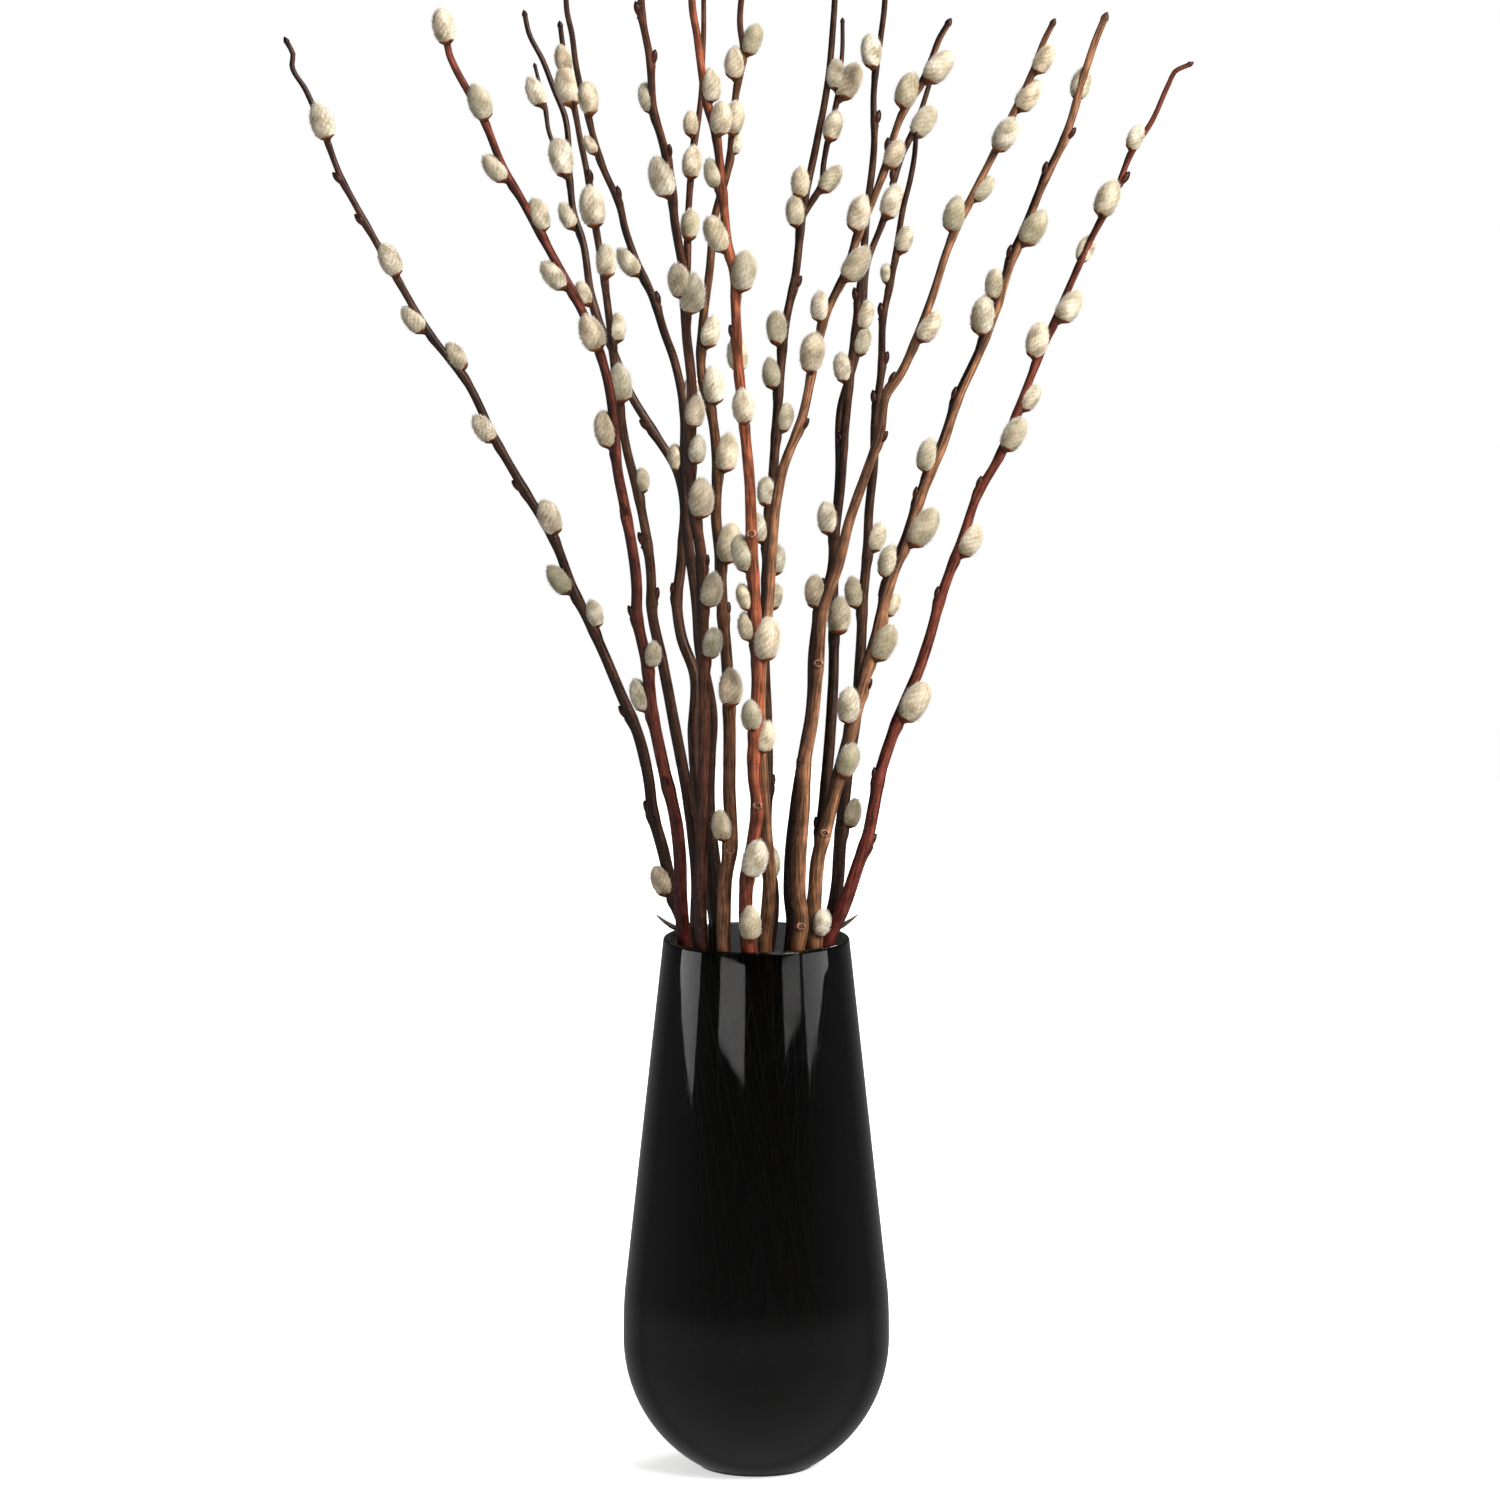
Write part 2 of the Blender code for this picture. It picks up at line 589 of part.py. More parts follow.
def add_bud(label, centres, bud, collection):
    """A small closed bud pressed against the wood."""
    up, degrees = bud
    point, direction, radius = place_on(centres, up)
    out = side_of(degrees)
    root = point - direction * (BUD_LENGTH * BUD_ROOT_BELOW) + out * (radius * BUD_ROOT_OUT)
    tip = root + leaning(direction, out, BUD_LEAN) * (BUD_LENGTH + radius * BUD_ROOT_OUT)
    middle = [(root.lerp(tip, BUD_WIDEST_AT), BUD_RADIUS)]
    make_spindle(label, root, tip, middle, BUD_SIDES, collection)


def add_spur(label, stem, centres, collection):
    """A short dry shoot that rises outwards over the vase's rim."""
    up, tip_across, tip_up = stem["spur"]
    root = place_on(centres, up)[0]
    tip = seen_point(tip_across, tip_up, depth_at(stem, up))
    belly = root.lerp(tip, SPUR_WIDEST_AT) - Vector((0.0, 0.0, SPUR_SAG))
    make_spindle(label, root, tip, [(belly, SPUR_RADIUS)], BUD_SIDES, collection)


def fuse(wood, growth):
    """Join everything in a collection to the wood in one body, then drop the collection."""
    union = wood.modifiers.new("fuse", "BOOLEAN")
    union.operation = "UNION"
    union.operand_type = "COLLECTION"
    union.solver = "EXACT"
    union.collection = growth
    view = bpy.context.evaluated_depsgraph_get()
    joined = bpy.data.meshes.new_from_object(wood.evaluated_get(view))
    joined.name = wood.name
    wood.modifiers.remove(union)
    wood.data = joined
    for thing in list(growth.objects):
        bpy.data.objects.remove(thing, do_unlink=True)
    bpy.data.collections.remove(growth)


def make_stem(number, stem, material):
    """One stem with all that grew on it, in one solid."""
    scene_objects = bpy.context.scene.collection
    growth = bpy.data.collections.new(stem["name"] + "_growth")
    scene_objects.children.link(growth)
    draw = random.Random(number)
    open_part = open_centres(stem)
    whole = inner_centres(stem) + [centre[:2] for centre in open_part]
    wood = make_rod(stem["name"], whole, scene_objects, True)
    for catkin in stem["catkins"]:
        add_catkin(stem["name"], open_part, catkin, draw, growth)
    if "end_catkin" in stem:
        add_end_catkin(stem["name"] + "_end_catkin", open_part, stem["end_catkin"], growth)
    for bud in stem["buds"]:
        add_bud(stem["name"] + "_bud", open_part, bud, growth)
    if "spur" in stem:
        add_spur(stem["name"] + "_spur", stem, open_part, growth)
    if "twig" in stem:
        twig = twig_centres(stem)
        make_rod(stem["name"] + "_twig", [centre[:2] for centre in twig], growth, False)
        for catkin in stem["twig_catkins"]:
            add_catkin(stem["name"] + "_twig", twig, catkin, draw, growth)
    fuse(wood, growth)
    wood.data.materials.clear()
    wood.data.materials.append(material)
    wood.data.shade_smooth()
    wood.data.set_sharp_from_angle(angle=BARK_CREASE)


clear_scene()
make_vase()
barks = {shade: bark_material(shade) for shade in BARK_COLOURS}
for stem_number, one_stem in enumerate(STEMS, start=1):
    make_stem(stem_number, one_stem, barks[one_stem["bark"]])
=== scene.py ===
import math
import random

import bpy
import numpy as np
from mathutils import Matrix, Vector, noise


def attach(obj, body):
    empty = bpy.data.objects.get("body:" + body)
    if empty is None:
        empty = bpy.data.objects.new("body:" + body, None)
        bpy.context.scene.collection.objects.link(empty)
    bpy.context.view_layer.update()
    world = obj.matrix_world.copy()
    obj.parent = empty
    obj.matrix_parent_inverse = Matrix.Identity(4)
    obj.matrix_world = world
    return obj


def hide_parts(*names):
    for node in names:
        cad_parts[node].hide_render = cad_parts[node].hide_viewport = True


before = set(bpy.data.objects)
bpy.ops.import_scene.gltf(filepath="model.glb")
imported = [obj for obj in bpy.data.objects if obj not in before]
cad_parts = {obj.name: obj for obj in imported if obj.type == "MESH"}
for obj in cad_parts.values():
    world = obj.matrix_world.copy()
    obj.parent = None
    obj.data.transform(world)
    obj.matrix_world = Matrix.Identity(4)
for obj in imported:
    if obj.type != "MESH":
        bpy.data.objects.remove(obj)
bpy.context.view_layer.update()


# The vase: one piece of smoked soda-lime glass, blown into a turned mould and fire
# polished. Its straight neck widens down to a round bowl, which is solid glass up to
# its floor, and the small flat foot is ground so that it stands. Sizes are in metres.
MM = 0.001
VASE_HEIGHT = 0.250
RIM_RADIUS = 0.0432
NECK_FOOT_HEIGHT = 0.079
NECK_FOOT_RADIUS = 0.0619
# The bowl's side is one arc, and its centre lies a little past the vase's axis
BOWL_ARC = 0.0688
BOWL_CENTRE_OUT = -0.0067
BOWL_CENTRE_UP = 0.0605
RIM_WALL = 0.0040
BOWL_WALL = 0.0054
FLOOR_HEIGHT = 0.050
FLOOR_CORNER = 0.020
RIM_ROUNDING = 0.0012
# Radius and height under the foot: the ground ring, and the hollow inside it
FOOT_RING = ((0.0180, 0.0007), (0.0215, 0.0006), (0.0232, 0.0001), (0.0245, 0.0))
FOOT_ROUNDING = 0.0006
SHOULDER_TOP = 0.086
VASE_SIDES = 144
BOWL_STEPS = 40
NECK_STEPS = 14
CORNER_STEPS = 12
RIM_STEPS = 5
SHOULDER_STEPS = 10
# The tint of each surface, its mirror against clear glass, and the smoke within
SMOKED_GLASS = "#BABBBD"
GLASS_IOR = 1.52
GLASS_MIRROR = 0.2
SMOKE = "#4F5053"
SMOKE_PER_METRE = 850.0


def to_linear(colour):
    """Linear red, green and blue of an sRGB hex colour."""
    shares = [int(colour[place:place + 2], 16) / 255.0 for place in (1, 3, 5)]
    return tuple(
        share / 12.92 if share <= 0.04045 else ((share + 0.055) / 1.055) ** 2.4
        for share in shares)


def add_node(tree, kind, settings=None, links=None):
    """Add a node, give its sockets or properties their values, and link its inputs."""
    node = tree.nodes.new(kind)
    for name, value in (settings or {}).items():
        if isinstance(name, int) or name in node.inputs:
            node.inputs[name].default_value = value
        else:
            setattr(node, name, value)
    for name, output in (links or {}).items():
        tree.links.new(output, node.inputs[name])
    return node


def make_object(name, points, faces, material):
    """A smooth-shaded mesh object of the given points and faces."""
    mesh = bpy.data.meshes.new(name)
    mesh.from_pydata(points, [], faces)
    mesh.shade_smooth()
    mesh.materials.append(material)
    thing = bpy.data.objects.new(name, mesh)
    bpy.context.scene.collection.objects.link(thing)
    return thing


def new_material(name, sockets):
    """A new material, its node tree, and its shader with these sockets set."""
    material = bpy.data.materials.new(name)
    material.use_nodes = True
    shader = material.node_tree.nodes["Principled BSDF"]
    for socket, value in sockets.items():
        shader.inputs[socket].default_value = value
    return material, material.node_tree, shader


def smoked_glass():
    """Smoked glass: close to black with two walls behind one another, fire polished, and
    very slightly wavy from the mould."""
    material, tree, shader = new_material("smoked_glass", {
        "Base Color": (*to_linear(SMOKED_GLASS), 1.0),
        "Transmission Weight": 1.0,
        "IOR": GLASS_IOR,
        "Specular Tint": (GLASS_MIRROR, GLASS_MIRROR, GLASS_MIRROR, 1.0)})
    smoke = add_node(
        tree, "ShaderNodeVolumeAbsorption",
        {"Color": (*to_linear(SMOKE), 1.0), "Density": SMOKE_PER_METRE})
    tree.links.new(smoke.outputs["Volume"], tree.nodes["Material Output"].inputs["Volume"])
    place = add_node(tree, "ShaderNodeTexCoord").outputs["Object"]
    waves = add_node(tree, "ShaderNodeTexNoise", {"Scale": 26.0, "Detail": 1.0}, {"Vector": place})
    smears = add_node(tree, "ShaderNodeTexNoise", {"Scale": 70.0, "Detail": 4.0}, {"Vector": place})
    polish = add_node(
        tree, "ShaderNodeMapRange",
        {"From Min": 0.35, "From Max": 0.75, "To Min": 0.015, "To Max": 0.06},
        {"Value": smears.outputs["Fac"]})
    tree.links.new(polish.outputs["Result"], shader.inputs["Roughness"])
    bump = add_node(
        tree, "ShaderNodeBump", {"Strength": 0.02, "Distance": 0.0006},
        {"Height": waves.outputs["Fac"]})
    tree.links.new(bump.outputs["Normal"], shader.inputs["Normal"])
    return material


def bowl_radius(height):
    """Outer radius of the bowl at a height, on a round arc about its own centre."""
    return BOWL_CENTRE_OUT + math.sqrt(BOWL_ARC ** 2 - (height - BOWL_CENTRE_UP) ** 2)


def mixed(first, second, share):
    """Part of the way from one place or colour to another."""
    return tuple(a + (b - a) * share for a, b in zip(first, second))


def bent(start, start_way, end, end_way, span, share):
    """Part of the way along a smooth bend that passes its two ends in given directions."""
    square, cube = share ** 2, share ** 3
    return (start * (2 * cube - 3 * square + 1) + start_way * (span * (cube - 2 * square + share))
            + end * (3 * square - 2 * cube) + end_way * (span * (cube - square)))


def quarter_round(centre_radius, centre_height, rounding, start, sweep, steps):
    """Points of a rounded corner of the profile, swept on from the start angle."""
    points = []
    for step in range(steps + 1):
        turn = math.radians(start + sweep * step / steps)
        points.append((centre_radius + rounding * math.cos(turn),
                       centre_height + rounding * math.sin(turn)))
    return points


def vase_profile():
    """Radius and height round the glass, from under the foot up and down inside."""
    profile = list(FOOT_RING)
    profile.append((bowl_radius(FOOT_ROUNDING) - FOOT_ROUNDING * 0.35, FOOT_ROUNDING * 0.25))
    for step in range(BOWL_STEPS + 1):
        height = FOOT_ROUNDING + (BOWL_CENTRE_UP - FOOT_ROUNDING) * (step / BOWL_STEPS)
        profile.append((bowl_radius(height), height))
    neck_top = VASE_HEIGHT - RIM_ROUNDING
    slope = (RIM_RADIUS - NECK_FOOT_RADIUS) / (neck_top - NECK_FOOT_HEIGHT)
    shoulder = SHOULDER_TOP - BOWL_CENTRE_UP
    shoulder_radius = NECK_FOOT_RADIUS + slope * (SHOULDER_TOP - NECK_FOOT_HEIGHT)
    for step in range(1, SHOULDER_STEPS):
        share = step / SHOULDER_STEPS
        profile.append((
            bent(bowl_radius(BOWL_CENTRE_UP), 0.0, shoulder_radius, slope, shoulder, share),
            BOWL_CENTRE_UP + shoulder * share))
    for step in range(NECK_STEPS):
        profile.append(mixed((shoulder_radius, SHOULDER_TOP), (RIM_RADIUS, neck_top),
                             step / NECK_STEPS))
    inner_rim = RIM_RADIUS - RIM_WALL
    inner_foot = NECK_FOOT_RADIUS - BOWL_WALL
    profile += quarter_round(RIM_RADIUS - RIM_ROUNDING, neck_top, RIM_ROUNDING, 0.0, 90.0, RIM_STEPS)
    profile += quarter_round(inner_rim + RIM_ROUNDING, neck_top, RIM_ROUNDING, 90.0, 90.0, RIM_STEPS)
    for step in range(1, NECK_STEPS):
        profile.append(mixed((inner_rim, neck_top), (inner_foot, NECK_FOOT_HEIGHT),
                             step / NECK_STEPS))
    profile += quarter_round(inner_foot - FLOOR_CORNER, FLOOR_HEIGHT + FLOOR_CORNER, FLOOR_CORNER,
                             0.0, -90.0, CORNER_STEPS)
    return profile


def ring_faces(count, sides, first=0):
    """Faces between rings of points, one ring above another, closed at both ends."""
    faces = []
    last = first + (count - 1) * sides
    for ring in range(first, last, sides):
        for side in range(sides):
            beside = ring + (side + 1) % sides
            faces.append((ring + side, beside, beside + sides, ring + side + sides))
    faces.append(tuple(reversed(range(first, first + sides))))
    faces.append(tuple(range(last, last + sides)))
    return faces


def turned(profile, sides):
    """Points and faces of a profile turned about the upright axis, closed at its ends."""
    points = []
    for radius, height in profile:
        for side in range(sides):
            turn = math.tau * side / sides
            points.append((radius * math.cos(turn), radius * math.sin(turn), height))
    return points, ring_faces(len(profile), sides)


vase = make_object("vase_glass", *turned(vase_profile(), VASE_SIDES), smoked_glass())
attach(vase, "root")
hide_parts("vase")


# The stems: sixteen cut shoots of pussy willow, each one piece of wood under thin,
# smooth, slightly glossy bark. They stand on the glass floor, cross inside the neck
# and lean out over the rim. Swollen nodes carry the buds, catkins and leaf scars.
# The feet stand in the rim's order, turned and drawn in a little
SEAT_GAP = 0.0003
FOOT_SPREAD = 0.90
CROSSING_TURN = math.radians(85.0)
LOWER_STEPS = (0.0, 0.45, 0.85)
FOOT_SWELL = 1.04
# The eye that the routes are seen from, in mm, and the rim's height in mm
EYE_ACROSS = -2.96
EYE_HEIGHT = 780.0
EYE_DISTANCE = 3000.0
RIM_UP = 250.0
# A twig's radius, as a share of its stem's at the fork and at the tip
TWIG_START = 0.80
TWIG_END = 0.70
STEM_SIDES = 12
TWIG_SIDES = 8
OPEN_STEP = 2.3 * MM
INNER_STEP = 9.0 * MM
WOOD_UNEVEN = 0.05
# A node's swelling: share of the radius, and of that all round. Then in mm its reach
# and how far below the bud it lies. Past so many reaches it is left out.
NODE_SWELL = 0.34
NODE_ALL_ROUND = 0.3
NODE_REACH = 3.4
NODE_BELOW = 2.5
NODE_CUT = 2.5
# The bud at a tip: rise and width as shares of the wood's radius, and darkness
TIP_BUD = ((0.4, 1.16, 0.6), (1.0, 1.14, 0.75), (1.7, 0.88, 0.85), (2.3, 0.5, 0.9), (2.7, 0.12, 0.9))
TIP_SHADE = 0.4
BUD_TIP = "#160906"
# Patterns lie on each piece as if it were a rod of this radius in mm
PATTERN_RADIUS = 3.0
BARK_ROUGHNESS_LOW = 0.28
BARK_ROUGHNESS_HIGH = 0.45
BARK_GLOSS = 0.12
LENTICEL = "#6E5239"
# Painted light and shade: the side, in radians round the stem, that is painted lit (front right on every
# stem, where the key light falls), how strongly it and slow patches pale the bark, and the height in mm
# below which the bark turns to its low colour
PAINTED_LIGHT_TURN = -0.7
PAINTED_LIGHT_SHARE = 1.05
PATCH_SHARE = 0.8
LOW_TOP = 370.0
LOW_SHARE = 0.8
# Each bark's painted lit side and painted shade side, and what it turns to near the rim. The pale side
# is partly the bark's own sunnier colour, but its strength and the near-black side are painted light and
# shade.
BARKS = {
    "dark": ("#3E271B", "#060302", "#0F0605"),
    "red": ("#5C2D21", "#0D0303", "#3E1411"),
    "brown": ("#492B1E", "#090403", "#26120E"),
    "fawn": ("#503321", "#0B0503", "#64432D"),
    "orange": ("#7C432C", "#1B0905", "#481C11"),
    "tan": ("#7C553C", "#120704", "#5C3D27"),
}
SCAR = "#7A5540"
PITH = "#1A0C08"

# Each stem, left to right. rim: where it passes the rim, across and deep, in mm.
# deep: how far behind the vase's axis its tip is. thick: radius at rim and tip.
# route: across and up as seen from the front, rim to tip. catkins: height of the base,
# side in degrees round the stem (0 right, 90 behind, 180 left, 270 front), size.
# buds: height, side. spur: a short dry shoot over the rim: root height, tip. A twig
# forks off and has its own route and catkins, and twig_deep is as deep, if it is not
# the stem's. end_catkin: the size of one at the very tip.
STEMS = (
    dict(
        name="stem_01", bark="dark", rim=(-32.5, 8.0), deep=35.0, thick=(3.0, 1.2),
        route=(
            (-38, 268), (-43, 290), (-48, 309), (-49.5, 322), (-54, 343), (-63, 365), (-74, 391),
            (-84.5, 413), (-92, 433), (-107, 459), (-120, 482), (-132, 507), (-148, 528),
            (-163, 553), (-178, 580), (-190, 603), (-196, 619), (-205, 641), (-211, 652),
            (-210.5, 657), (-213, 662)),
        catkins=(
            (270, 200, 0.95), (395, 350, 0.85), (411, 190, 1.0), (438, 350, 1.1), (481, 235, 0.95),
            (513, 20, 0.95), (531, 170, 0.95), (557, 300, 1.05), (619, 295, 1.15)),
        buds=((310, 180), (355, 180), (460, 180), (582, 190), (601, 180)),
        spur=(251, -47, 261)),
    dict(
        name="stem_02", bark="red", rim=(-33.5, -5.0), deep=-50.0, thick=(3.2, 1.6),
        route=(
            (-35, 268), (-35.3, 285), (-36.5, 300), (-43, 330), (-48, 355), (-50.5, 378), (-55, 401),
            (-55, 412), (-60, 448), (-64, 470), (-65, 485), (-67, 503), (-71, 519), (-80, 541),
            (-90, 560), (-100, 578), (-106, 589), (-115, 605), (-124.5, 628), (-131, 640),
            (-137, 651), (-139.5, 657), (-140.5, 662)),
        catkins=(
            (356, 160, 1.0), (377, 320, 0.8), (478, 165, 1.1), (523, 275, 1.15), (551, 185, 1.0),
            (577, 20, 1.0), (600, 180, 0.95), (628, 300, 1.1)),
        end_catkin=1.05,
        buds=((322, 260), (401, 180), (448, 250))),
    dict(
        name="stem_03", bark="dark", rim=(-19.0, 27.5), deep=110.0, thick=(3.3, 1.2),
        route=(
            (-22, 280), (-26, 310), (-29, 345), (-28.5, 373), (-34.5, 390), (-36.5, 408), (-35, 420),
            (-33.5, 437), (-33, 450), (-36, 466), (-46, 483), (-58, 503), (-66.5, 524), (-71, 533),
            (-75.5, 548), (-79, 571), (-83.5, 586), (-85, 600), (-87.5, 630), (-92, 641), (-97, 654),
            (-103.5, 667), (-105, 674)),
        catkins=((543, 185, 0.8), (578, 160, 0.9), (602, 215, 1.2)),
        buds=((411, 180), (437, 320), (488, 180)),
        twig=((-85, 599), (-90, 611), (-94.5, 622), (-96, 633), (-98.5, 643), (-100.5, 651)),
        twig_catkins=((634, 200, 0.95),)),
    dict(
        name="stem_04", bark="dark", rim=(-28.0, 19.0), deep=60.0, thick=(3.1, 1.2),
        route=(
            (-27.5, 280), (-29.5, 300), (-32, 318), (-38, 350), (-43.5, 380), (-48, 402),
            (-48.5, 420), (-53, 450), (-56, 463), (-59.5, 477), (-63, 500), (-65, 515), (-66.5, 530),
            (-70, 558), (-74, 583), (-76, 597), (-80.5, 620), (-83, 634), (-88, 661), (-89, 669)),
        catkins=(
            (457, 10, 0.75), (499, 300, 1.15), (526, 30, 0.9), (556, 310, 1.0), (579, 270, 1.25),
            (634, 250, 1.2), (649, 255, 0.85)),
        buds=((409, 0), (435, 170), (601, 300))),
    dict(
        name="stem_05", bark="dark", rim=(-17.0, 10.0), deep=0.0, thick=(3.2, 1.2),
        route=(
            (-19.5, 285), (-22, 310), (-21.5, 335), (-20.5, 352), (-26, 385), (-27.5, 405),
            (-32, 440), (-33.5, 460), (-33.5, 498), (-38, 519), (-42, 530), (-46, 543), (-56, 566),
            (-60, 578), (-62, 587), (-70, 606), (-77, 630), (-82, 652), (-84, 667), (-86, 676),
            (-86.5, 690)),
        catkins=((467, 150, 0.8), (498, 20, 0.85), (557, 180, 0.95), (612, 200, 0.6), (630, 320, 1.0)),
        buds=((545, 0), (593, 0))),
    dict(
        name="stem_06", bark="brown", rim=(-25.0, -22.0), deep=-80.0, thick=(3.2, 1.6),
        route=(
            (-26, 275), (-25, 300), (-24, 330), (-24, 370), (-25, 410), (-25.5, 428), (-29, 450),
            (-30.5, 478), (-29.5, 505), (-32, 530), (-33, 555), (-37.5, 583), (-38.5, 597),
            (-43, 618), (-46.5, 630), (-48.5, 655), (-52, 675), (-52.5, 690)),
        catkins=(
            (381, 330, 0.95), (405, 335, 1.05), (446, 335, 1.2), (471, 330, 0.85), (488, 300, 0.95),
            (540, 320, 1.2), (547, 235, 1.05), (593, 190, 1.2), (631, 140, 0.85)),
        buds=((424, 0), (612, 0), (655, 0), (677, 180)),
        twig=(
            (-33, 549), (-31.5, 560), (-31.5, 572), (-31, 586), (-30, 600), (-28.5, 615),
            (-26.5, 627), (-25, 640), (-24.5, 655), (-24, 668), (-24, 682)),
        twig_deep=-36.0,
        twig_catkins=((573, 285, 0.9), (601, 270, 0.95), (620, 185, 0.75))),
    dict(
        name="stem_07", bark="fawn", rim=(-15.0, -30.0), deep=-45.0, thick=(3.3, 1.3),
        route=(
            (-15, 262), (-14.5, 275), (-12, 292), (-12.5, 320), (-12.5, 350), (-13.5, 378),
            (-15.5, 400), (-17, 430), (-18.5, 445), (-18, 467), (-21, 495), (-24.5, 507),
            (-25.5, 518), (-24.5, 535), (-21.5, 558), (-19, 583), (-13, 605), (-9.5, 638), (-6, 658),
            (-7.5, 670), (-6, 690)),
        catkins=(
            (296, 215, 0.95), (359, 285, 1.15), (425, 340, 1.2), (467, 0, 1.15), (498, 0, 1.1),
            (524, 350, 0.95), (612, 20, 0.65), (621, 275, 1.0), (646, 180, 0.95), (657, 0, 0.95)),
        buds=((291, 270), (402, 0))),
    dict(
        name="stem_08", bark="orange", rim=(-3.5, -33.5), deep=-110.0, thick=(3.3, 1.6),
        route=(
            (-5, 262), (-4.5, 276), (-1, 298), (0.5, 312), (-1, 325), (0, 355), (0.5, 370),
            (-0.5, 400), (-2.3, 438), (-3, 460), (-5.5, 487), (-8.5, 518), (-9.5, 542), (-10, 556),
            (-13, 570), (-15.5, 595), (-19, 622), (-22.5, 634), (-25, 650), (-27, 665), (-29, 677),
            (-29.5, 690)),
        catkins=(
            (254, 290, 1.05), (280, 290, 1.2), (337, 5, 0.95), (348, 240, 0.95), (380, 350, 1.3),
            (389, 175, 0.85), (403, 170, 0.8), (421, 165, 1.1), (490, 275, 1.05), (513, 90, 1.0),
            (550, 345, 1.2), (568, 190, 1.1), (597, 170, 0.85), (621, 330, 1.0), (636, 0, 0.95)),
        buds=((312, 270), (438, 270), (530, 180), (595, 180))),
    dict(
        name="stem_09", bark="dark", rim=(7.0, 32.0), deep=100.0, thick=(3.2, 1.4),
        route=(
            (7.5, 268), (5, 285), (4.3, 300), (4.8, 325), (4.5, 355), (3.5, 380), (4.5, 410),
            (5.5, 440), (8, 470), (9, 487), (11.5, 518), (13, 533), (18, 558), (19.5, 572),
            (21.5, 588), (27, 615), (32.5, 645), (35, 674), (36, 690)),
        catkins=(
            (279, 285, 1.05), (403, 10, 0.8), (419, 10, 0.95), (434, 180, 0.9), (451, 225, 0.9),
            (485, 15, 0.9), (505, 185, 0.95), (525, 190, 1.05), (579, 190, 0.95), (592, 185, 0.95)),
        buds=((322, 0), (553, 0)),
        twig=(
            (21, 583), (25, 590), (29.5, 598), (30.5, 607), (32, 616), (35, 630), (37, 638),
            (38.3, 650), (39, 660), (39, 671)),
        twig_catkins=((595, 0, 0.95), (618, 290, 0.95), (637, 350, 1.2), (641, 230, 0.95))),
    dict(
        name="stem_10", bark="tan", rim=(4.0, -10.0), deep=-30.0, thick=(3.2, 1.4),
        route=(
            (6, 275), (4, 303), (2, 340), (2, 375), (5.5, 405), (7, 430), (9.5, 455), (12, 467),
            (20.5, 490), (26, 515), (31.5, 538), (41.5, 560), (45, 571), (53.5, 592), (58, 604),
            (65, 627), (76, 646), (80, 656), (83, 664), (86.5, 670)),
        catkins=(
            (513, 245, 1.2), (536, 185, 0.9), (555, 320, 1.15), (577, 180, 1.1), (606, 310, 0.9),
            (633, 175, 1.1), (645, 345, 1.15)),
        buds=((488, 0), (615, 180))),
    dict(
        name="stem_11", bark="dark", rim=(17.0, 28.0), deep=80.0, thick=(3.1, 1.3),
        route=(
            (15.5, 270), (16, 290), (17.5, 305), (21.5, 333), (25.5, 358), (26.5, 385), (30.5, 408),
            (34, 418), (36, 438), (38.5, 460), (40.5, 487), (43, 512), (46, 538), (48.5, 562),
            (50.5, 587), (53.5, 615), (53.3, 640), (56, 662), (58, 678), (58.5, 688)),
        catkins=(
            (404, 190, 1.0), (438, 185, 1.0), (508, 185, 0.9), (520, 10, 0.9), (532, 15, 0.9),
            (651, 190, 1.05)),
        buds=((413, 180), (481, 180), (547, 180), (628, 0))),
    dict(
        name="stem_12", bark="dark", rim=(26.0, 20.0), deep=110.0, thick=(3.1, 1.2),
        route=(
            (26, 265), (28, 280), (31.5, 315), (34, 345), (35.5, 375), (35.5, 395), (35.5, 425),
            (38, 465), (38.5, 495), (45.5, 520), (48.5, 540), (50.5, 562), (57.5, 581), (60.5, 592),
            (66, 610), (75, 632), (79, 645)),
        catkins=((392, 305, 1.15), (583, 300, 1.1), (620, 350, 1.1)),
        buds=((302, 180), (540, 0), (602, 180))),
    dict(
        name="stem_13", bark="dark", rim=(32.5, 9.0), deep=40.0, thick=(3.2, 1.2),
        route=(
            (36, 265), (39, 298), (42, 328), (46, 355), (48, 385), (49, 407), (51, 432), (51.5, 447),
            (54, 474), (54, 487), (57, 512), (58, 538), (61, 552), (63.5, 566), (67, 588), (70, 600),
            (72, 612), (72.5, 619)),
        catkins=((302, 350, 0.9), (404, 175, 0.95), (430, 0, 0.9), (553, 160, 0.6), (567, 350, 0.85)),
        buds=((500, 180), (518, 0), (540, 180)),
        spur=(251, 47.5, 261)),
    dict(
        name="stem_14", bark="tan", rim=(19.0, -27.0), deep=-80.0, thick=(3.2, 1.3),
        route=(
            (21, 257), (19.8, 270), (20, 285), (22, 315), (22.5, 332), (25.5, 350), (28.5, 378),
            (30.5, 402), (37.5, 423), (43, 445), (50, 465), (56.5, 484), (60, 503), (65, 510),
            (74, 530), (81, 549), (87, 568), (96, 588), (108, 612), (117, 631), (125, 648),
            (131, 664), (134, 670)),
        catkins=(
            (527, 350, 1.0), (577, 175, 1.05), (591, 15, 0.85), (614, 285, 1.1), (632, 10, 1.0),
            (649, 350, 0.9)),
        buds=((256, 270), (330, 180), (378, 270), (482, 0), (508, 180))),
    dict(
        name="stem_15", bark="tan", rim=(26.5, -18.0), deep=-40.0, thick=(3.4, 1.6),
        route=(
            (27, 270), (28.5, 287), (31.5, 299), (38, 326), (44.5, 350), (50.5, 374), (57, 397),
            (60, 412), (68, 433), (75.5, 456), (85.5, 480), (92, 500), (102, 522), (110, 543),
            (116, 563), (124, 582), (129, 595), (141, 621), (149, 648), (155, 666), (157.5, 672)),
        catkins=(
            (254, 310, 0.85), (326, 305, 1.05), (351, 215, 1.1), (380, 340, 1.15), (400, 20, 0.7),
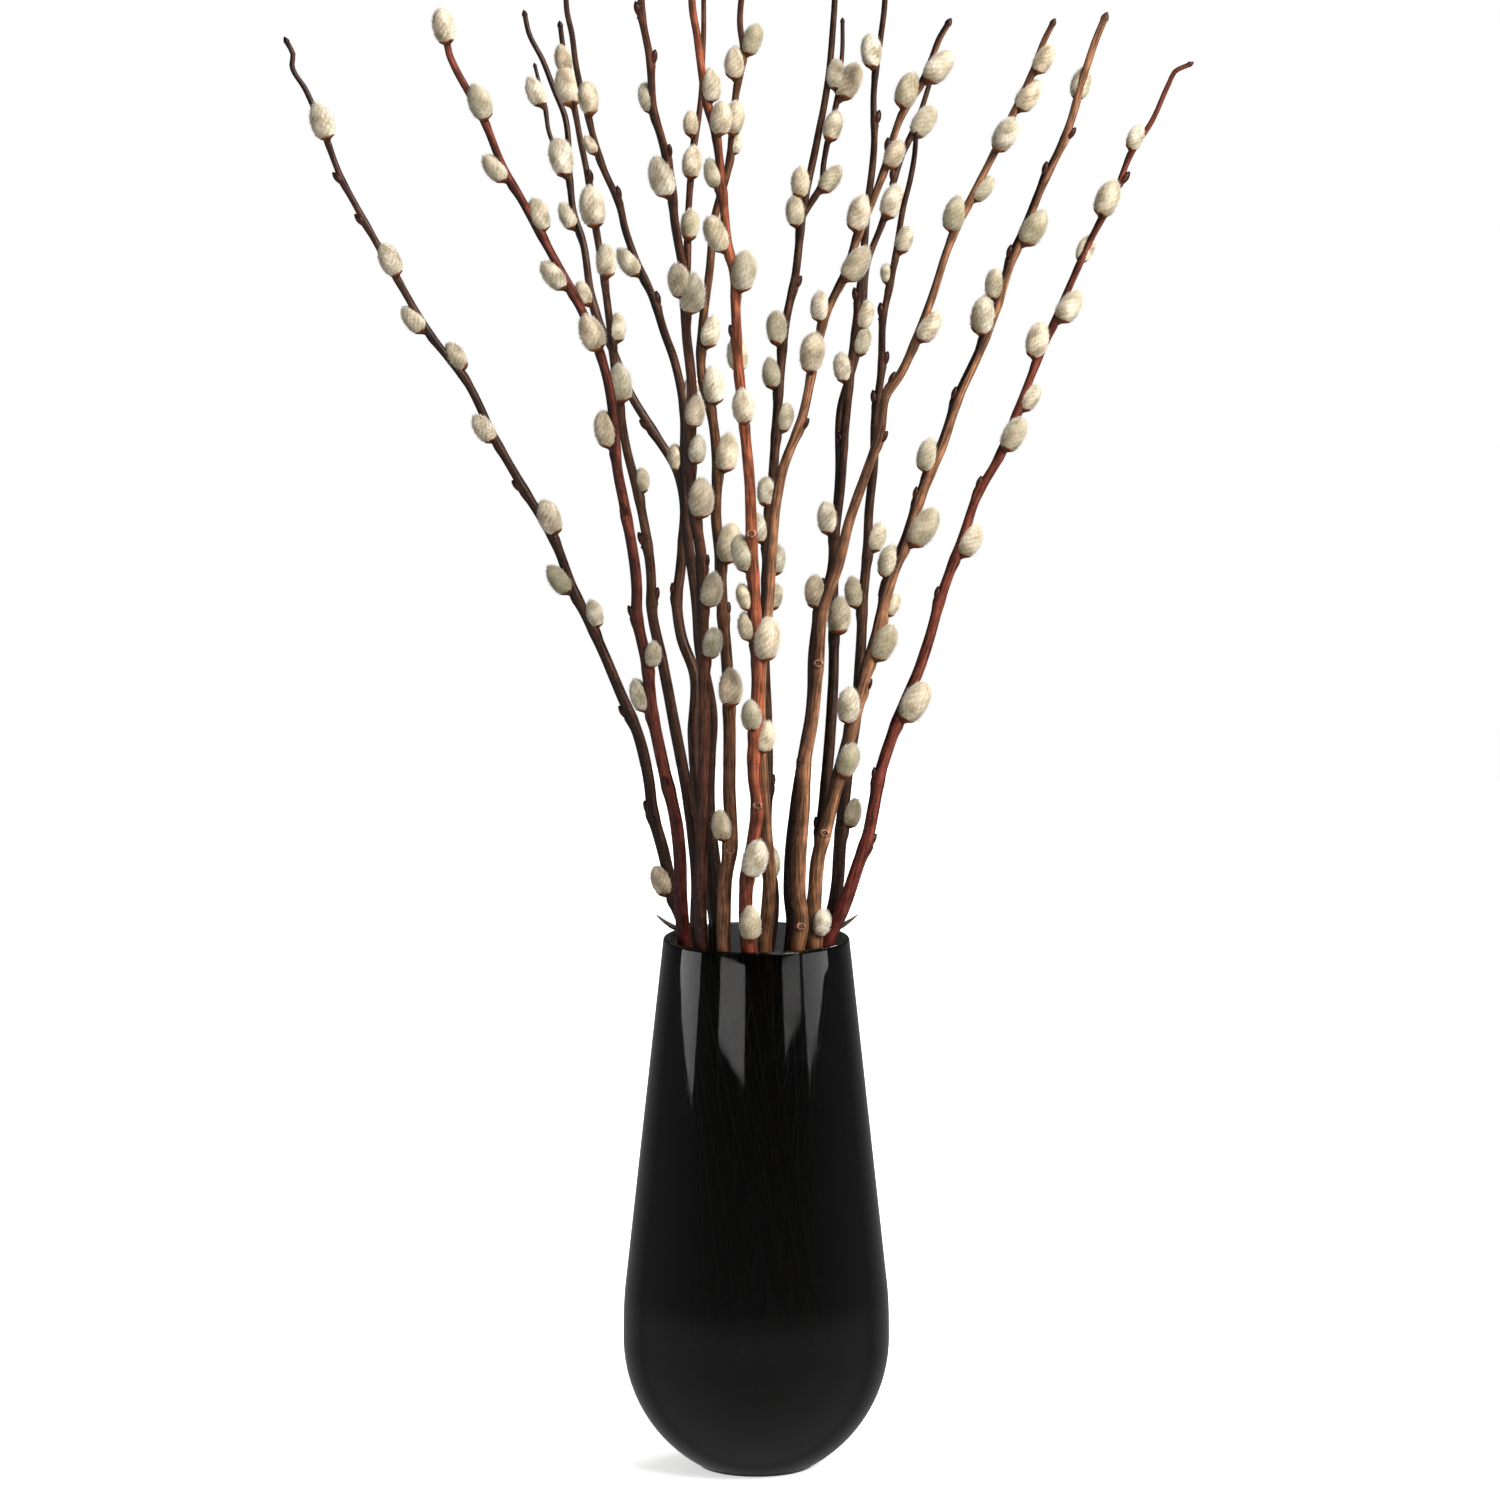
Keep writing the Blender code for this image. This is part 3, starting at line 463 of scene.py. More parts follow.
            (418, 170, 1.0), (433, 350, 1.3), (467, 175, 1.0), (530, 190, 1.15), (546, 180, 0.9),
            (571, 350, 1.15), (637, 90, 0.95)),
        buds=(
            (299, 270), (367, 0), (413, 180), (455, 180), (501, 180), (566, 180), (604, 180),
            (621, 0))),
    dict(
        name="stem_16", bark="red", rim=(33.8, -4.0), deep=20.0, thick=(3.2, 1.1),
        route=(
            (39.5, 262), (47, 284), (51.5, 297), (54, 310), (57, 326), (65, 351), (75.5, 377),
            (80, 391), (84, 406), (96, 440), (101, 455), (110, 471), (119, 493), (127, 514),
            (136, 535), (144, 554), (152, 572), (163.5, 594), (170, 611), (180, 627), (187.5, 644),
            (190, 649), (196, 652)),
        catkins=(
            (352, 330, 1.3), (428, 355, 1.05), (477, 310, 1.1), (495, 15, 0.9), (519, 180, 1.1),
            (536, 350, 1.1), (563, 90, 0.85), (584, 230, 1.15), (614, 180, 0.8)),
        buds=((295, 0), (325, 180), (409, 180), (460, 180), (601, 0))),
)


def seen_point(across, up, deep):
    """The real place, in metres, of a point seen from the front at a depth in mm."""
    reach = (EYE_DISTANCE + deep) / EYE_DISTANCE
    return Vector((
        (EYE_ACROSS + (across - EYE_ACROSS) * reach) * MM,
        deep * MM,
        (EYE_HEIGHT + (up - EYE_HEIGHT) * reach) * MM))


def way_up(stem, up):
    """How far up its open part a seen height is: 0 at the rim, 1 at the tip."""
    return (up - RIM_UP) / (stem["route"][-1][1] - RIM_UP)


def depth_at(stem, up):
    """Depth of the stem at a seen height, in mm: an even lean from rim to tip."""
    return stem["rim"][1] + (stem["deep"] - stem["rim"][1]) * way_up(stem, up)


def radius_at(stem, up):
    """Radius of the wood at a seen height, in metres."""
    rim_radius, tip_radius = stem["thick"]
    return (rim_radius + (tip_radius - rim_radius) * way_up(stem, up)) * MM


def rim_point(stem):
    """Where the stem passes the rim, in metres."""
    across, deep = stem["rim"]
    return Vector((across * MM, deep * MM, VASE_HEIGHT))


def open_centres(stem):
    """Centre, radius and seen height along the open part, from the rim to the tip."""
    centres = [(rim_point(stem), stem["thick"][0] * MM, RIM_UP)]
    for across, up in stem["route"]:
        place = seen_point(across, up, depth_at(stem, up))
        centres.append((place, radius_at(stem, up), up))
    return centres


def inner_centres(stem):
    """Centre, radius and height inside the vase, from the foot up to the neck."""
    rim = rim_point(stem)
    cosine = math.cos(CROSSING_TURN) * FOOT_SPREAD
    sine = math.sin(CROSSING_TURN) * FOOT_SPREAD
    foot = Vector((
        rim.x * cosine - rim.y * sine,
        rim.x * sine + rim.y * cosine,
        FLOOR_HEIGHT + SEAT_GAP))
    rim_radius = stem["thick"][0] * MM
    centres = []
    for share in LOWER_STEPS:
        swell = FOOT_SWELL + (1.0 - FOOT_SWELL) * share
        place = foot.lerp(rim, share)
        centres.append((place, rim_radius * swell, place.z / MM))
    return centres


def twig_centres(stem):
    """Centre, radius and seen height along a side twig, from its fork to its tip."""
    route = stem["twig"]
    first, last = route[0][1], route[-1][1]
    start_deep = depth_at(stem, first)
    end_deep = stem.get("twig_deep", depth_at(stem, last))
    start_radius = radius_at(stem, first) * TWIG_START
    end_radius = stem["thick"][1] * TWIG_END * MM
    centres = []
    for across, up in route:
        share = (up - first) / (last - first)
        place = seen_point(across, up, start_deep + (end_deep - start_deep) * share)
        centres.append((place, start_radius + (end_radius - start_radius) * share, up))
    return centres


def place_on(centres, up):
    """Point, direction and radius where a run of centres passes a seen height."""
    for lower, upper in zip(centres, centres[1:]):
        if up <= upper[2]:
            break
    share = (up - lower[2]) / (upper[2] - lower[2])
    point = lower[0].lerp(upper[0], share)
    radius = lower[1] + (upper[1] - lower[1]) * share
    return point, (upper[0] - lower[0]).normalized(), radius


def side_of(degrees):
    """Level unit vector out of the wood, on the given side."""
    turn = math.radians(degrees)
    return Vector((math.cos(turn), math.sin(turn), 0.0))


def leaning(direction, out, lean):
    """Direction along the wood, tipped away from it towards its outer side."""
    square = (out - direction * out.dot(direction)).normalized()
    return direction * math.cos(lean) + square * math.sin(lean)


def square_to(direction, towards=Vector((1.0, 0.0, 0.0))):
    """Two unit vectors square to a direction, the first as near as can be to another."""
    first = (towards - direction * towards.dot(direction)).normalized()
    return first, direction.cross(first)


def new_body():
    """An empty mesh in the making: points, faces, and each point's colour and place."""
    return {"points": [], "faces": [], "colour": [], "place": []}


def skin_rings(body, rings, colours, alongs):
    """Add a closed skin over rings of points. Each ring has one colour for all its points
    or one each, and its length along the wood in mm."""
    first = len(body["points"])
    sides = len(rings[0])
    for ring, colour, along in zip(rings, colours, alongs):
        for side, point in enumerate(ring):
            turn = math.tau * side / sides
            body["points"].append(point)
            body["colour"].append(colour[side] if len(colour) == sides else colour)
            body["place"].append(
                (PATTERN_RADIUS * math.cos(turn), PATTERN_RADIUS * math.sin(turn), along))
    body["faces"] += ring_faces(len(rings), sides, first)


def ring_round(centre, out, side_way, reaches, flat=1.0):
    """A ring of points round a centre, each at its own reach, flattened towards out."""
    ring = []
    for side, reach in enumerate(reaches):
        turn = math.tau * side / len(reaches)
        ring.append(centre + out * (reach * flat * math.cos(turn))
                    + side_way * (reach * math.sin(turn)))
    return ring


def smooth_run(centres):
    """A smooth run through centres: point, direction, radius and seen height."""
    count = len(centres)
    spans = [(b[0] - a[0]).length for a, b in zip(centres, centres[1:])]
    slopes = [(b[0] - a[0]) / span for a, b, span in zip(centres, centres[1:], spans)]
    tangents = [slopes[0]]
    for number in range(1, count - 1):
        before, after = spans[number - 1], spans[number]
        tangents.append((slopes[number - 1] * after + slopes[number] * before) / (before + after))
    tangents.append(slopes[-1])
    run = []
    for number in range(count - 1):
        lower, upper, span = centres[number], centres[number + 1], spans[number]
        step = INNER_STEP if upper[2] <= RIM_UP else OPEN_STEP
        pieces = max(1, round(span / step))
        for piece in range(pieces):
            share = piece / pieces
            point = bent(lower[0], tangents[number], upper[0], tangents[number + 1], span, share)
            direction = tangents[number].lerp(tangents[number + 1], share).normalized()
            run.append((point, direction, *mixed(lower[1:], upper[1:], share)))
    end = centres[-1]
    run.append((end[0], tangents[-1].normalized(), end[1], end[2]))
    return run


def drift(turn, along, round_scale, along_scale, seed):
    """Noise that closes on itself round a piece and drifts along it."""
    return noise.noise(Vector((math.cos(turn) * round_scale, math.sin(turn) * round_scale,
                               along * along_scale + seed)))


def held(share):
    """A share held between nothing and all."""
    return min(1.0, max(0.0, share))


def bark_colour(bark, seed, turn, up):
    """Bark colour with painted light and shade: paler on the front-right side of every stem and near
    black on the back-left, where the key light falls, with some of the bark's own sunnier tint; it also
    changes slowly along the stem.
    """
    painted_lit, painted_shade, low = (to_linear(colour) for colour in BARKS[bark])
    patch = drift(turn, up, 0.6, 0.018, seed * 7.1)
    # Painted light: how far this side turns towards the painted lit side, front right
    facing = (0.5 + 0.5 * math.cos(turn - PAINTED_LIGHT_TURN)) ** 2
    colour = mixed(painted_shade, painted_lit, held(PAINTED_LIGHT_SHARE * facing + PATCH_SHARE * patch))
    near_rim = held((LOW_TOP - up) / (LOW_TOP - RIM_UP))
    return mixed(colour, low, LOW_SHARE * near_rim)


def grown_reach(radius, turn, up, nodes, seed):
    """Reach of the wood on one side: slightly uneven, and swollen near its nodes."""
    grown = radius * (1.0 + WOOD_UNEVEN * drift(turn, up, 0.7, 0.09, seed * 3.3))
    for node_up, degrees in nodes:
        off = (up - node_up + NODE_BELOW) / NODE_REACH
        if abs(off) < NODE_CUT:
            own_side = max(0.0, math.cos(turn - math.radians(degrees)))
            near = NODE_ALL_ROUND + (1.0 - NODE_ALL_ROUND) * own_side
            grown += radius * NODE_SWELL * near * math.exp(-off * off)
    return grown


def add_wood(body, centres, sides, nodes, bark, seed, level_foot):
    """The wood itself, swollen at its nodes, with a dark pointed bud at its tip."""
    turns = [math.tau * side / sides for side in range(sides)]
    rings, colours, alongs = [], [], []
    for number, (point, direction, radius, up) in enumerate(smooth_run(centres)):
        if number == 0 and level_foot:
            direction = Vector((0.0, 0.0, 1.0))
        across, behind = square_to(direction)
        reaches = [grown_reach(radius, turn, up, nodes, seed) for turn in turns]
        rings.append(ring_round(point, across, behind, reaches))
        colours.append([bark_colour(bark, seed, turn, up) for turn in turns])
        alongs.append(up)
    dark = to_linear(BUD_TIP)
    bare = colours[-1]
    colours[-1] = [mixed(tint, dark, TIP_SHADE) for tint in bare]
    for rise, wide, shade in TIP_BUD:
        centre = point + direction * (radius * rise)
        rings.append(ring_round(centre, across, behind, [radius * wide] * sides))
        colours.append([mixed(tint, dark, shade) for tint in bare])
        alongs.append(up + rise)
    skin_rings(body, rings, colours, alongs)


def willow_bark():
    """Young willow bark: thin, smooth and slightly waxy, so it has a soft gloss. Fine
    lengthwise wrinkles and pale breathing pores, drawn twice their real 0.3 mm."""
    material, tree, shader = new_material("willow_bark", {"Specular IOR Level": BARK_GLOSS})
    # The colour attribute holds the bark's colour with painted light and shade: pale front right, near
    # black back left.
    colour = add_node(tree, "ShaderNodeAttribute", {"attribute_name": "grown_colour"})
    place = add_node(tree, "ShaderNodeAttribute", {"attribute_name": "grown_place"})
    along = add_node(
        tree, "ShaderNodeMapping", {"Scale": (1.0, 1.0, 0.08)}, {"Vector": place.outputs["Vector"]})
    wrinkles = add_node(
        tree, "ShaderNodeTexNoise", {"Scale": 1.1, "Detail": 3.0}, {"Vector": along.outputs["Vector"]})
    patches = add_node(
        tree, "ShaderNodeTexNoise", {"Scale": 0.16, "Detail": 2.0},
        {"Vector": place.outputs["Vector"]})
    pores = add_node(
        tree, "ShaderNodeTexVoronoi", {"Scale": 0.62, "Randomness": 1.0},
        {"Vector": place.outputs["Vector"]})
    pore = add_node(
        tree, "ShaderNodeMapRange", {"From Min": 0.10, "From Max": 0.24, "To Min": 1.0, "To Max": 0.0},
        {"Value": pores.outputs["Distance"]})
    streak = add_node(
        tree, "ShaderNodeMapRange",
        {"From Min": 0.36, "From Max": 0.64, "To Min": 0.35, "To Max": 1.75},
        {"Value": wrinkles.outputs["Fac"]})
    patch = add_node(
        tree, "ShaderNodeMapRange", {"From Min": 0.3, "From Max": 0.7, "To Min": 0.6, "To Max": 1.4},
        {"Value": patches.outputs["Fac"]})
    both = add_node(
        tree, "ShaderNodeMath", {"operation": "MULTIPLY"},
        {0: streak.outputs["Result"], 1: patch.outputs["Result"]})
    toned = add_node(
        tree, "ShaderNodeVectorMath", {"operation": "SCALE"},
        {"Vector": colour.outputs["Color"], "Scale": both.outputs["Value"]})
    pale = add_node(
        tree, "ShaderNodeMath", {"operation": "MULTIPLY", 1: 0.45}, {0: pore.outputs["Result"]})
    dotted = add_node(
        tree, "ShaderNodeMix", {"data_type": "RGBA", 7: (*to_linear(LENTICEL), 1.0)},
        {0: pale.outputs["Value"], 6: toned.outputs["Vector"]})
    tree.links.new(dotted.outputs[2], shader.inputs["Base Color"])
    gloss = add_node(
        tree, "ShaderNodeMapRange",
        {"From Min": 0.3, "From Max": 0.7, "To Min": BARK_ROUGHNESS_LOW, "To Max": BARK_ROUGHNESS_HIGH},
        {"Value": patches.outputs["Fac"]})
    tree.links.new(gloss.outputs["Result"], shader.inputs["Roughness"])
    raised = add_node(
        tree, "ShaderNodeMath", {"operation": "ADD"},
        {0: wrinkles.outputs["Fac"], 1: pore.outputs["Result"]})
    bump = add_node(
        tree, "ShaderNodeBump", {"Strength": 0.5, "Distance": 0.00012},
        {"Height": raised.outputs["Value"]})
    tree.links.new(bump.outputs["Normal"], shader.inputs["Normal"])
    return material


# The buds and scars: each closed bud is one glossy brown scale, pointed and pressed to
# the bark over its leaf scar. Where one faces the front it has dropped, and leaves a
# short knob with a pale ring and a dark middle. Two dry shoots lie over the rim.
BUD_LENGTH = 0.0066
BUD_RADIUS = 0.0019
BUD_LEAN = math.radians(17.0)
BUD_ROOT_BELOW = 0.45
BUD_ROOT_OUT = 0.40
BUD_SIDES = 10
# Forms here and below: share of the length, and the width there as a share of the radius
BUD_FORM = ((0.02, 0.50), (0.12, 0.86), (0.30, 1.05), (0.48, 1.10), (0.64, 1.00),
            (0.80, 0.74), (0.92, 0.42), (0.99, 0.14))
BUD_LOW = "#3B1A10"
# How flat buds and scars are pressed, and the length of pattern on each, in mm
PRESSED = 0.85
BUD_PATTERN = 3.0
SCAR_SIZE = 2.5 * MM
LEAF_SCAR_SIZE = 1.2 * MM
# A scar's knob looks outwards, and a little up along the wood
SCAR_OUT = 0.93
SCAR_UP = 0.37
SCAR_SIDES = 10
SCAR_FORM = ((-0.9, 0.35), (-0.55, 0.85), (0.0, 1.0), (0.35, 0.92), (0.55, 0.66), (0.5, 0.44),
             (0.18, 0.22))
FRONT = 270
SPUR_RADIUS = 0.0014
SPUR_SAG = 0.0012
SPUR_SIDES = 8
SPUR_FLAT = 0.9
SPUR_PATTERN = 10.0
SPUR_FORM = ((0.0, 0.7), (0.2, 0.9), (0.45, 1.0), (0.7, 0.72), (0.88, 0.4), (0.99, 0.08))
SPUR_PALE = "#5E5248"


def add_turned(body, start, end, form, radius, sides, towards, flat, colours, along):
    """A closed turned form between two points, flattened on the side it is turned to."""
    out, side_way = square_to((end - start).normalized(), towards)
    rings = [ring_round(start.lerp(end, share), out, side_way, [radius * wide] * sides, flat)
             for share, wide in form]
    skin_rings(body, rings, colours, [along + share * BUD_PATTERN for share, wide in form])


def add_scar(body, point, direction, out, along, size, ring_colour):
    """The scar of a fallen leaf or bud: a low knob, pale at its ring, dark inside."""
    tints = [mixed(ring_colour, to_linear(BUD_LOW), 0.7)] * 3 + [ring_colour] * 2
    tints += [to_linear(PITH)] * 2
    facing = (out * SCAR_OUT + direction * SCAR_UP).normalized()
    add_turned(body, point, point + facing * size, SCAR_FORM, size, SCAR_SIDES,
               direction, PRESSED, tints, along)


def add_bud(body, centres, bud):
    """A closed bud pressed against the wood, or the knob that one left."""
    up, degrees = bud
    point, direction, radius = place_on(centres, up)
    out = side_of(degrees)
    if degrees == FRONT:
        add_scar(body, point + out * (radius * 0.9), direction, out, up, SCAR_SIZE, to_linear(SCAR))
        return
    root = point - direction * (BUD_LENGTH * BUD_ROOT_BELOW) + out * (radius * BUD_ROOT_OUT)
    tip = root + leaning(direction, out, BUD_LEAN) * (BUD_LENGTH + radius * BUD_ROOT_OUT)
    low, high = to_linear(BUD_LOW), to_linear(BUD_TIP)
    tints = [mixed(low, high, share ** 1.5) for share, wide in BUD_FORM]
    add_turned(body, root, tip, BUD_FORM, BUD_RADIUS, BUD_SIDES, out, PRESSED, tints, up)
    scar_at = point - direction * (BUD_LENGTH * 0.5) + out * (radius * 0.95)
    add_scar(body, scar_at, direction, out, up, LEAF_SCAR_SIZE, low)


def add_spur(body, stem, centres):
    """A short dry shoot that rises outwards over the vase's rim."""
    up, tip_across, tip_up = stem["spur"]
    root = place_on(centres, up)[0]
    tip = seen_point(tip_across, tip_up, depth_at(stem, up))
    out, side_way = square_to((tip - root).normalized(), Vector((0.0, 0.0, 1.0)))
    rings, tints = [], []
    for share, wide in SPUR_FORM:
        sag = Vector((0.0, 0.0, SPUR_SAG * math.sin(math.pi * share)))
        rings.append(ring_round(root.lerp(tip, share) - sag, out, side_way,
                                [SPUR_RADIUS * wide] * SPUR_SIDES, SPUR_FLAT))
        tints.append(mixed(to_linear(BUD_TIP), to_linear(SPUR_PALE), share))
    skin_rings(body, rings, tints, [up + SPUR_PATTERN * number for number in range(len(rings))])


# The catkins: silky grey-green egg shapes, 10 to 21 mm long with their hairs. Each
# stands in the one brown scale that enclosed it as a bud, which is a small cup by now.
CATKIN_LENGTH = 0.0150
CATKIN_RADIUS = 0.0046
CATKIN_LEAN = math.radians(10.0)
CATKIN_LEAN_SPREAD = math.radians(3.0)
CATKIN_OFF_BARK = 0.14
SCALE_BELOW = 0.0036
CATKIN_FORM = ((0.00, 0.46), (0.04, 0.64), (0.10, 0.79), (0.18, 0.90), (0.28, 0.97),
               (0.38, 1.0), (0.46, 1.0), (0.55, 0.98), (0.64, 0.93), (0.73, 0.84),
               (0.81, 0.72), (0.88, 0.57), (0.94, 0.40), (0.98, 0.22))
CATKIN_SIDES = 20
CATKIN_PATTERN = 16.0
FLORET_TURNS = 8
FLORET_RELIEF = 0.035
SILK_DARK = "#85765A"
SILK_PALE = "#E9DEC8"
SILK_GREEN = "#787150"
SILK_TAN = "#CFAA7C"
# How blunt, green and tan a catkin may be
BLUNT = (-0.15, 0.35)
GREENEST = 0.7
TANNEST = 0.5
SCALE_SIDES = 14
# The scale's stalk: width and share of the way from root to base. Its cup: rise along
# the catkin, how far it stands off it, and how far its colour is towards the rim's.
SCALE_STALK = ((0.14, 0.05), (0.22, 0.45), (0.34, 0.8))
SCALE_CUP = ((0.10, 0.08, 0.3), (0.6, 0.08, 0.6), (1.0, 0.06, 1.0), (0.9, -0.05, 0.8), (0.4, -0.12, 0.2))
SCALE_HEIGHT = (0.07, 0.16)
SCALE_WAVE = 0.14
SCALE_LOWEST = 0.012
SCALE_LOW = "#26120B"
SCALE_RIM = "#6E4226"


def catkin_frame(centres, catkin, draw):
    """Where a catkin grows: root, base, tip, outer side and widest radius."""
    up, degrees, size = catkin
    point, direction, radius = place_on(centres, up)
    out = side_of(degrees)
    lean = CATKIN_LEAN + draw.uniform(-CATKIN_LEAN_SPREAD, CATKIN_LEAN_SPREAD)
    width = CATKIN_RADIUS * size
    base = point + out * (radius + width * CATKIN_OFF_BARK)
    tip = base + leaning(direction, out, lean) * (CATKIN_LENGTH * size)
    root = point - direction * SCALE_BELOW
    return root, base, tip, out, width


def end_catkin_frame(centres, size):
    """The same for a catkin at the very tip of a stem."""
    direction = (centres[-1][0] - centres[-2][0]).normalized()
    base = centres[-1][0]
    tip = base + direction * (CATKIN_LENGTH * size)
    return base - direction * SCALE_BELOW, base, tip, side_of(FRONT), CATKIN_RADIUS * size


def width_at(share, blunt):
    """Width of a catkin, as a share of its widest, at a share of its length. A blunt
    one keeps its width further up."""
    shares = [place for place, wide in CATKIN_FORM]
    widths = [wide for place, wide in CATKIN_FORM]
    return np.interp(share - blunt * share * (1.0 - share), shares, widths)


def silk_tone(colour, green, tan):
    """A silk colour as it is on one catkin: some are greener and some browner."""
    return mixed(mixed(to_linear(colour), to_linear(SILK_GREEN), green), to_linear(SILK_TAN), tan)


def add_catkin(body, grown, blunt, green, tan, seed):
    """The egg-shaped body under the silk, with the florets' spiral relief."""
    base, tip, outer, width = grown[1:]
    out, side_way = square_to((tip - base).normalized(), outer)
    dark = silk_tone(SILK_DARK, green, 0.0)
    pale = silk_tone(SILK_PALE, green, tan)
    rings, tints = [], []
    for number, (share, wide) in enumerate(CATKIN_FORM):
        wide = width * float(width_at(share, blunt))
        reaches, ring_tints = [], []
        for side in range(CATKIN_SIDES):
            turn = math.tau * side / CATKIN_SIDES
            spiral = math.cos(FLORET_TURNS * turn + number * math.pi)
            fleck = drift(turn, share, 1.0, 3.0, seed)
            reaches.append(wide * (1.0 + FLORET_RELIEF * spiral))
            ring_tints.append(mixed(dark, pale, held(0.45 + 0.2 * spiral + fleck)))
        rings.append(ring_round(base.lerp(tip, share), out, side_way, reaches))
        tints.append(ring_tints)
    skin_rings(body, rings, tints, [share * CATKIN_PATTERN + seed for share, wide in CATKIN_FORM])


def add_scale(body, grown, blunt, draw):
    """The brown bud scale: a thin cup with a wavy rim, higher on its outer side."""
    root, base, tip, outer, width = grown
    out, side_way = square_to((tip - base).normalized(), outer)
    height = draw.uniform(*SCALE_HEIGHT)
    wave = draw.uniform(0.0, math.tau)
    low, rim = to_linear(SCALE_LOW), to_linear(SCALE_RIM)
    rings, tints = [], []
    for wide, share in SCALE_STALK:
        rings.append(ring_round(root.lerp(base, share), out, side_way, [width * wide] * SCALE_SIDES))
        tints.append(mixed(low, rim, share * 0.3))
    for rise, proud, tint in SCALE_CUP:
        ring = []
        for side in range(SCALE_SIDES):
            turn = math.tau * side / SCALE_SIDES
            lobe = 0.5 + 0.5 * math.cos(turn) + SCALE_WAVE * math.cos(3.0 * turn + wave)
            share = max(SCALE_LOWEST, height * rise * lobe)
            reach = width * (float(width_at(share, blunt)) + proud)
            ring.append(base.lerp(tip, share) + out * (reach * math.cos(turn))
                        + side_way * (reach * math.sin(turn)))
        rings.append(ring)
        tints.append(mixed(low, rim, tint))
    skin_rings(body, rings, tints, [float(number) for number in range(len(rings))])


def catkin_silk():
    """The catkin's body: felted silk, matt, with fine lengthwise strands 0.4 mm apart."""
    material, tree, shader = new_material("catkin_silk", {
        "Roughness": 0.8, "Sheen Weight": 0.4, "Sheen Roughness": 0.4})
    colour = add_node(tree, "ShaderNodeAttribute", {"attribute_name": "grown_colour"})
    place = add_node(tree, "ShaderNodeAttribute", {"attribute_name": "grown_place"})
    along = add_node(
        tree, "ShaderNodeMapping", {"Scale": (2.2, 2.2, 0.5)}, {"Vector": place.outputs["Vector"]})
    strands = add_node(
        tree, "ShaderNodeTexNoise", {"Scale": 1.2, "Detail": 3.0}, {"Vector": along.outputs["Vector"]})
    tone = add_node(
        tree, "ShaderNodeMapRange", {"From Min": 0.3, "From Max": 0.7, "To Min": 0.6, "To Max": 1.25},
        {"Value": strands.outputs["Fac"]})
    toned = add_node(
        tree, "ShaderNodeVectorMath", {"operation": "SCALE"},
        {"Vector": colour.outputs["Color"], "Scale": tone.outputs["Result"]})
    tree.links.new(toned.outputs["Vector"], shader.inputs["Base Color"])
    bump = add_node(
        tree, "ShaderNodeBump", {"Strength": 0.6, "Distance": 0.0003},
        {"Height": strands.outputs["Fac"]})
    tree.links.new(bump.outputs["Normal"], shader.inputs["Normal"])
    return material


# The silk: thousands of fine hairs on each catkin, lying up towards its tip and standing
# a little off it. A real hair is 0.02 mm thick; each here stands for a lock of several.
HAIRS_EACH = 1150
HAIR_LENGTH = (1.4 * MM, 2.4 * MM)
HAIR_CORNER = 0.06 * MM
HAIR_RISE = (math.radians(15.0), math.radians(42.0))
HAIR_SINK = 0.25 * MM
HAIR_STRAY = 0.22
# The shares of a catkin's length that the lowest and the highest hair grow at
HAIR_FROM = 0.05
HAIR_TO = 0.98
HAIR_TONES = (0.75, 1.1)
HAIR_LOW = "#A3957C"
HAIR_HIGH = "#F9EFDA"


def unit(vectors):
    """The same vectors at length one, row by row."""
    return vectors / np.linalg.norm(vectors, axis=1, keepdims=True)


def hairs_on(grown, blunt, green, tan, size, draws):
    """Points, colours and soft normals of the hairs of one catkin, four points a hair."""
    base, tip, outer, width = grown[1:]
    base, tip = np.array(base), np.array(tip)
    length = np.linalg.norm(tip - base)
    direction = (tip - base) / length
    out, side_way = (np.array(v) for v in square_to(Vector(direction), outer))
    count = int(HAIRS_EACH * size ** 2)
    share = HAIR_FROM + (HAIR_TO - HAIR_FROM) * draws.beta(1.15, 1.0, count)
    turn = draws.uniform(0.0, math.tau, count)
    ahead = 0.01
    wide = width * width_at(share, blunt)
    slope = (width * width_at(share + ahead, blunt) - wide) / (ahead * length)
    around = np.cos(turn)[:, None] * out + np.sin(turn)[:, None] * side_way
    normal = unit(around - direction * slope[:, None])
    upward = unit(direction + around * slope[:, None])
    sideways = np.cross(upward, normal)
    rise = draws.uniform(*HAIR_RISE, count)[:, None]
    stray = draws.normal(0.0, HAIR_STRAY, count)[:, None]
    lie = unit(upward * np.cos(rise) + normal * np.sin(rise) + sideways * stray)
    seat = base + direction * (share * length)[:, None] + around * wide[:, None] - normal * HAIR_SINK
    reach = draws.uniform(*HAIR_LENGTH, count)[:, None] * math.sqrt(size)
    first = unit(np.cross(lie, normal))
    second = np.cross(lie, first)
    points = np.stack((
        seat + first * HAIR_CORNER,
        seat - first * (HAIR_CORNER * 0.5) + second * (HAIR_CORNER * 0.87),
        seat - first * (HAIR_CORNER * 0.5) - second * (HAIR_CORNER * 0.87),
        seat + lie * reach), axis=1)
    low = np.array(silk_tone(HAIR_LOW, green, tan * 0.5))
    high = np.array(silk_tone(HAIR_HIGH, green * 0.6, tan))
    tone = draws.uniform(*HAIR_TONES, count)[:, None, None]
    colours = np.stack((low, low, low, high))[None] * tone
    normals = np.repeat(normal[:, None, :], 4, axis=1)
    return points.reshape(-1, 3), colours.reshape(-1, 3), normals.reshape(-1, 3)


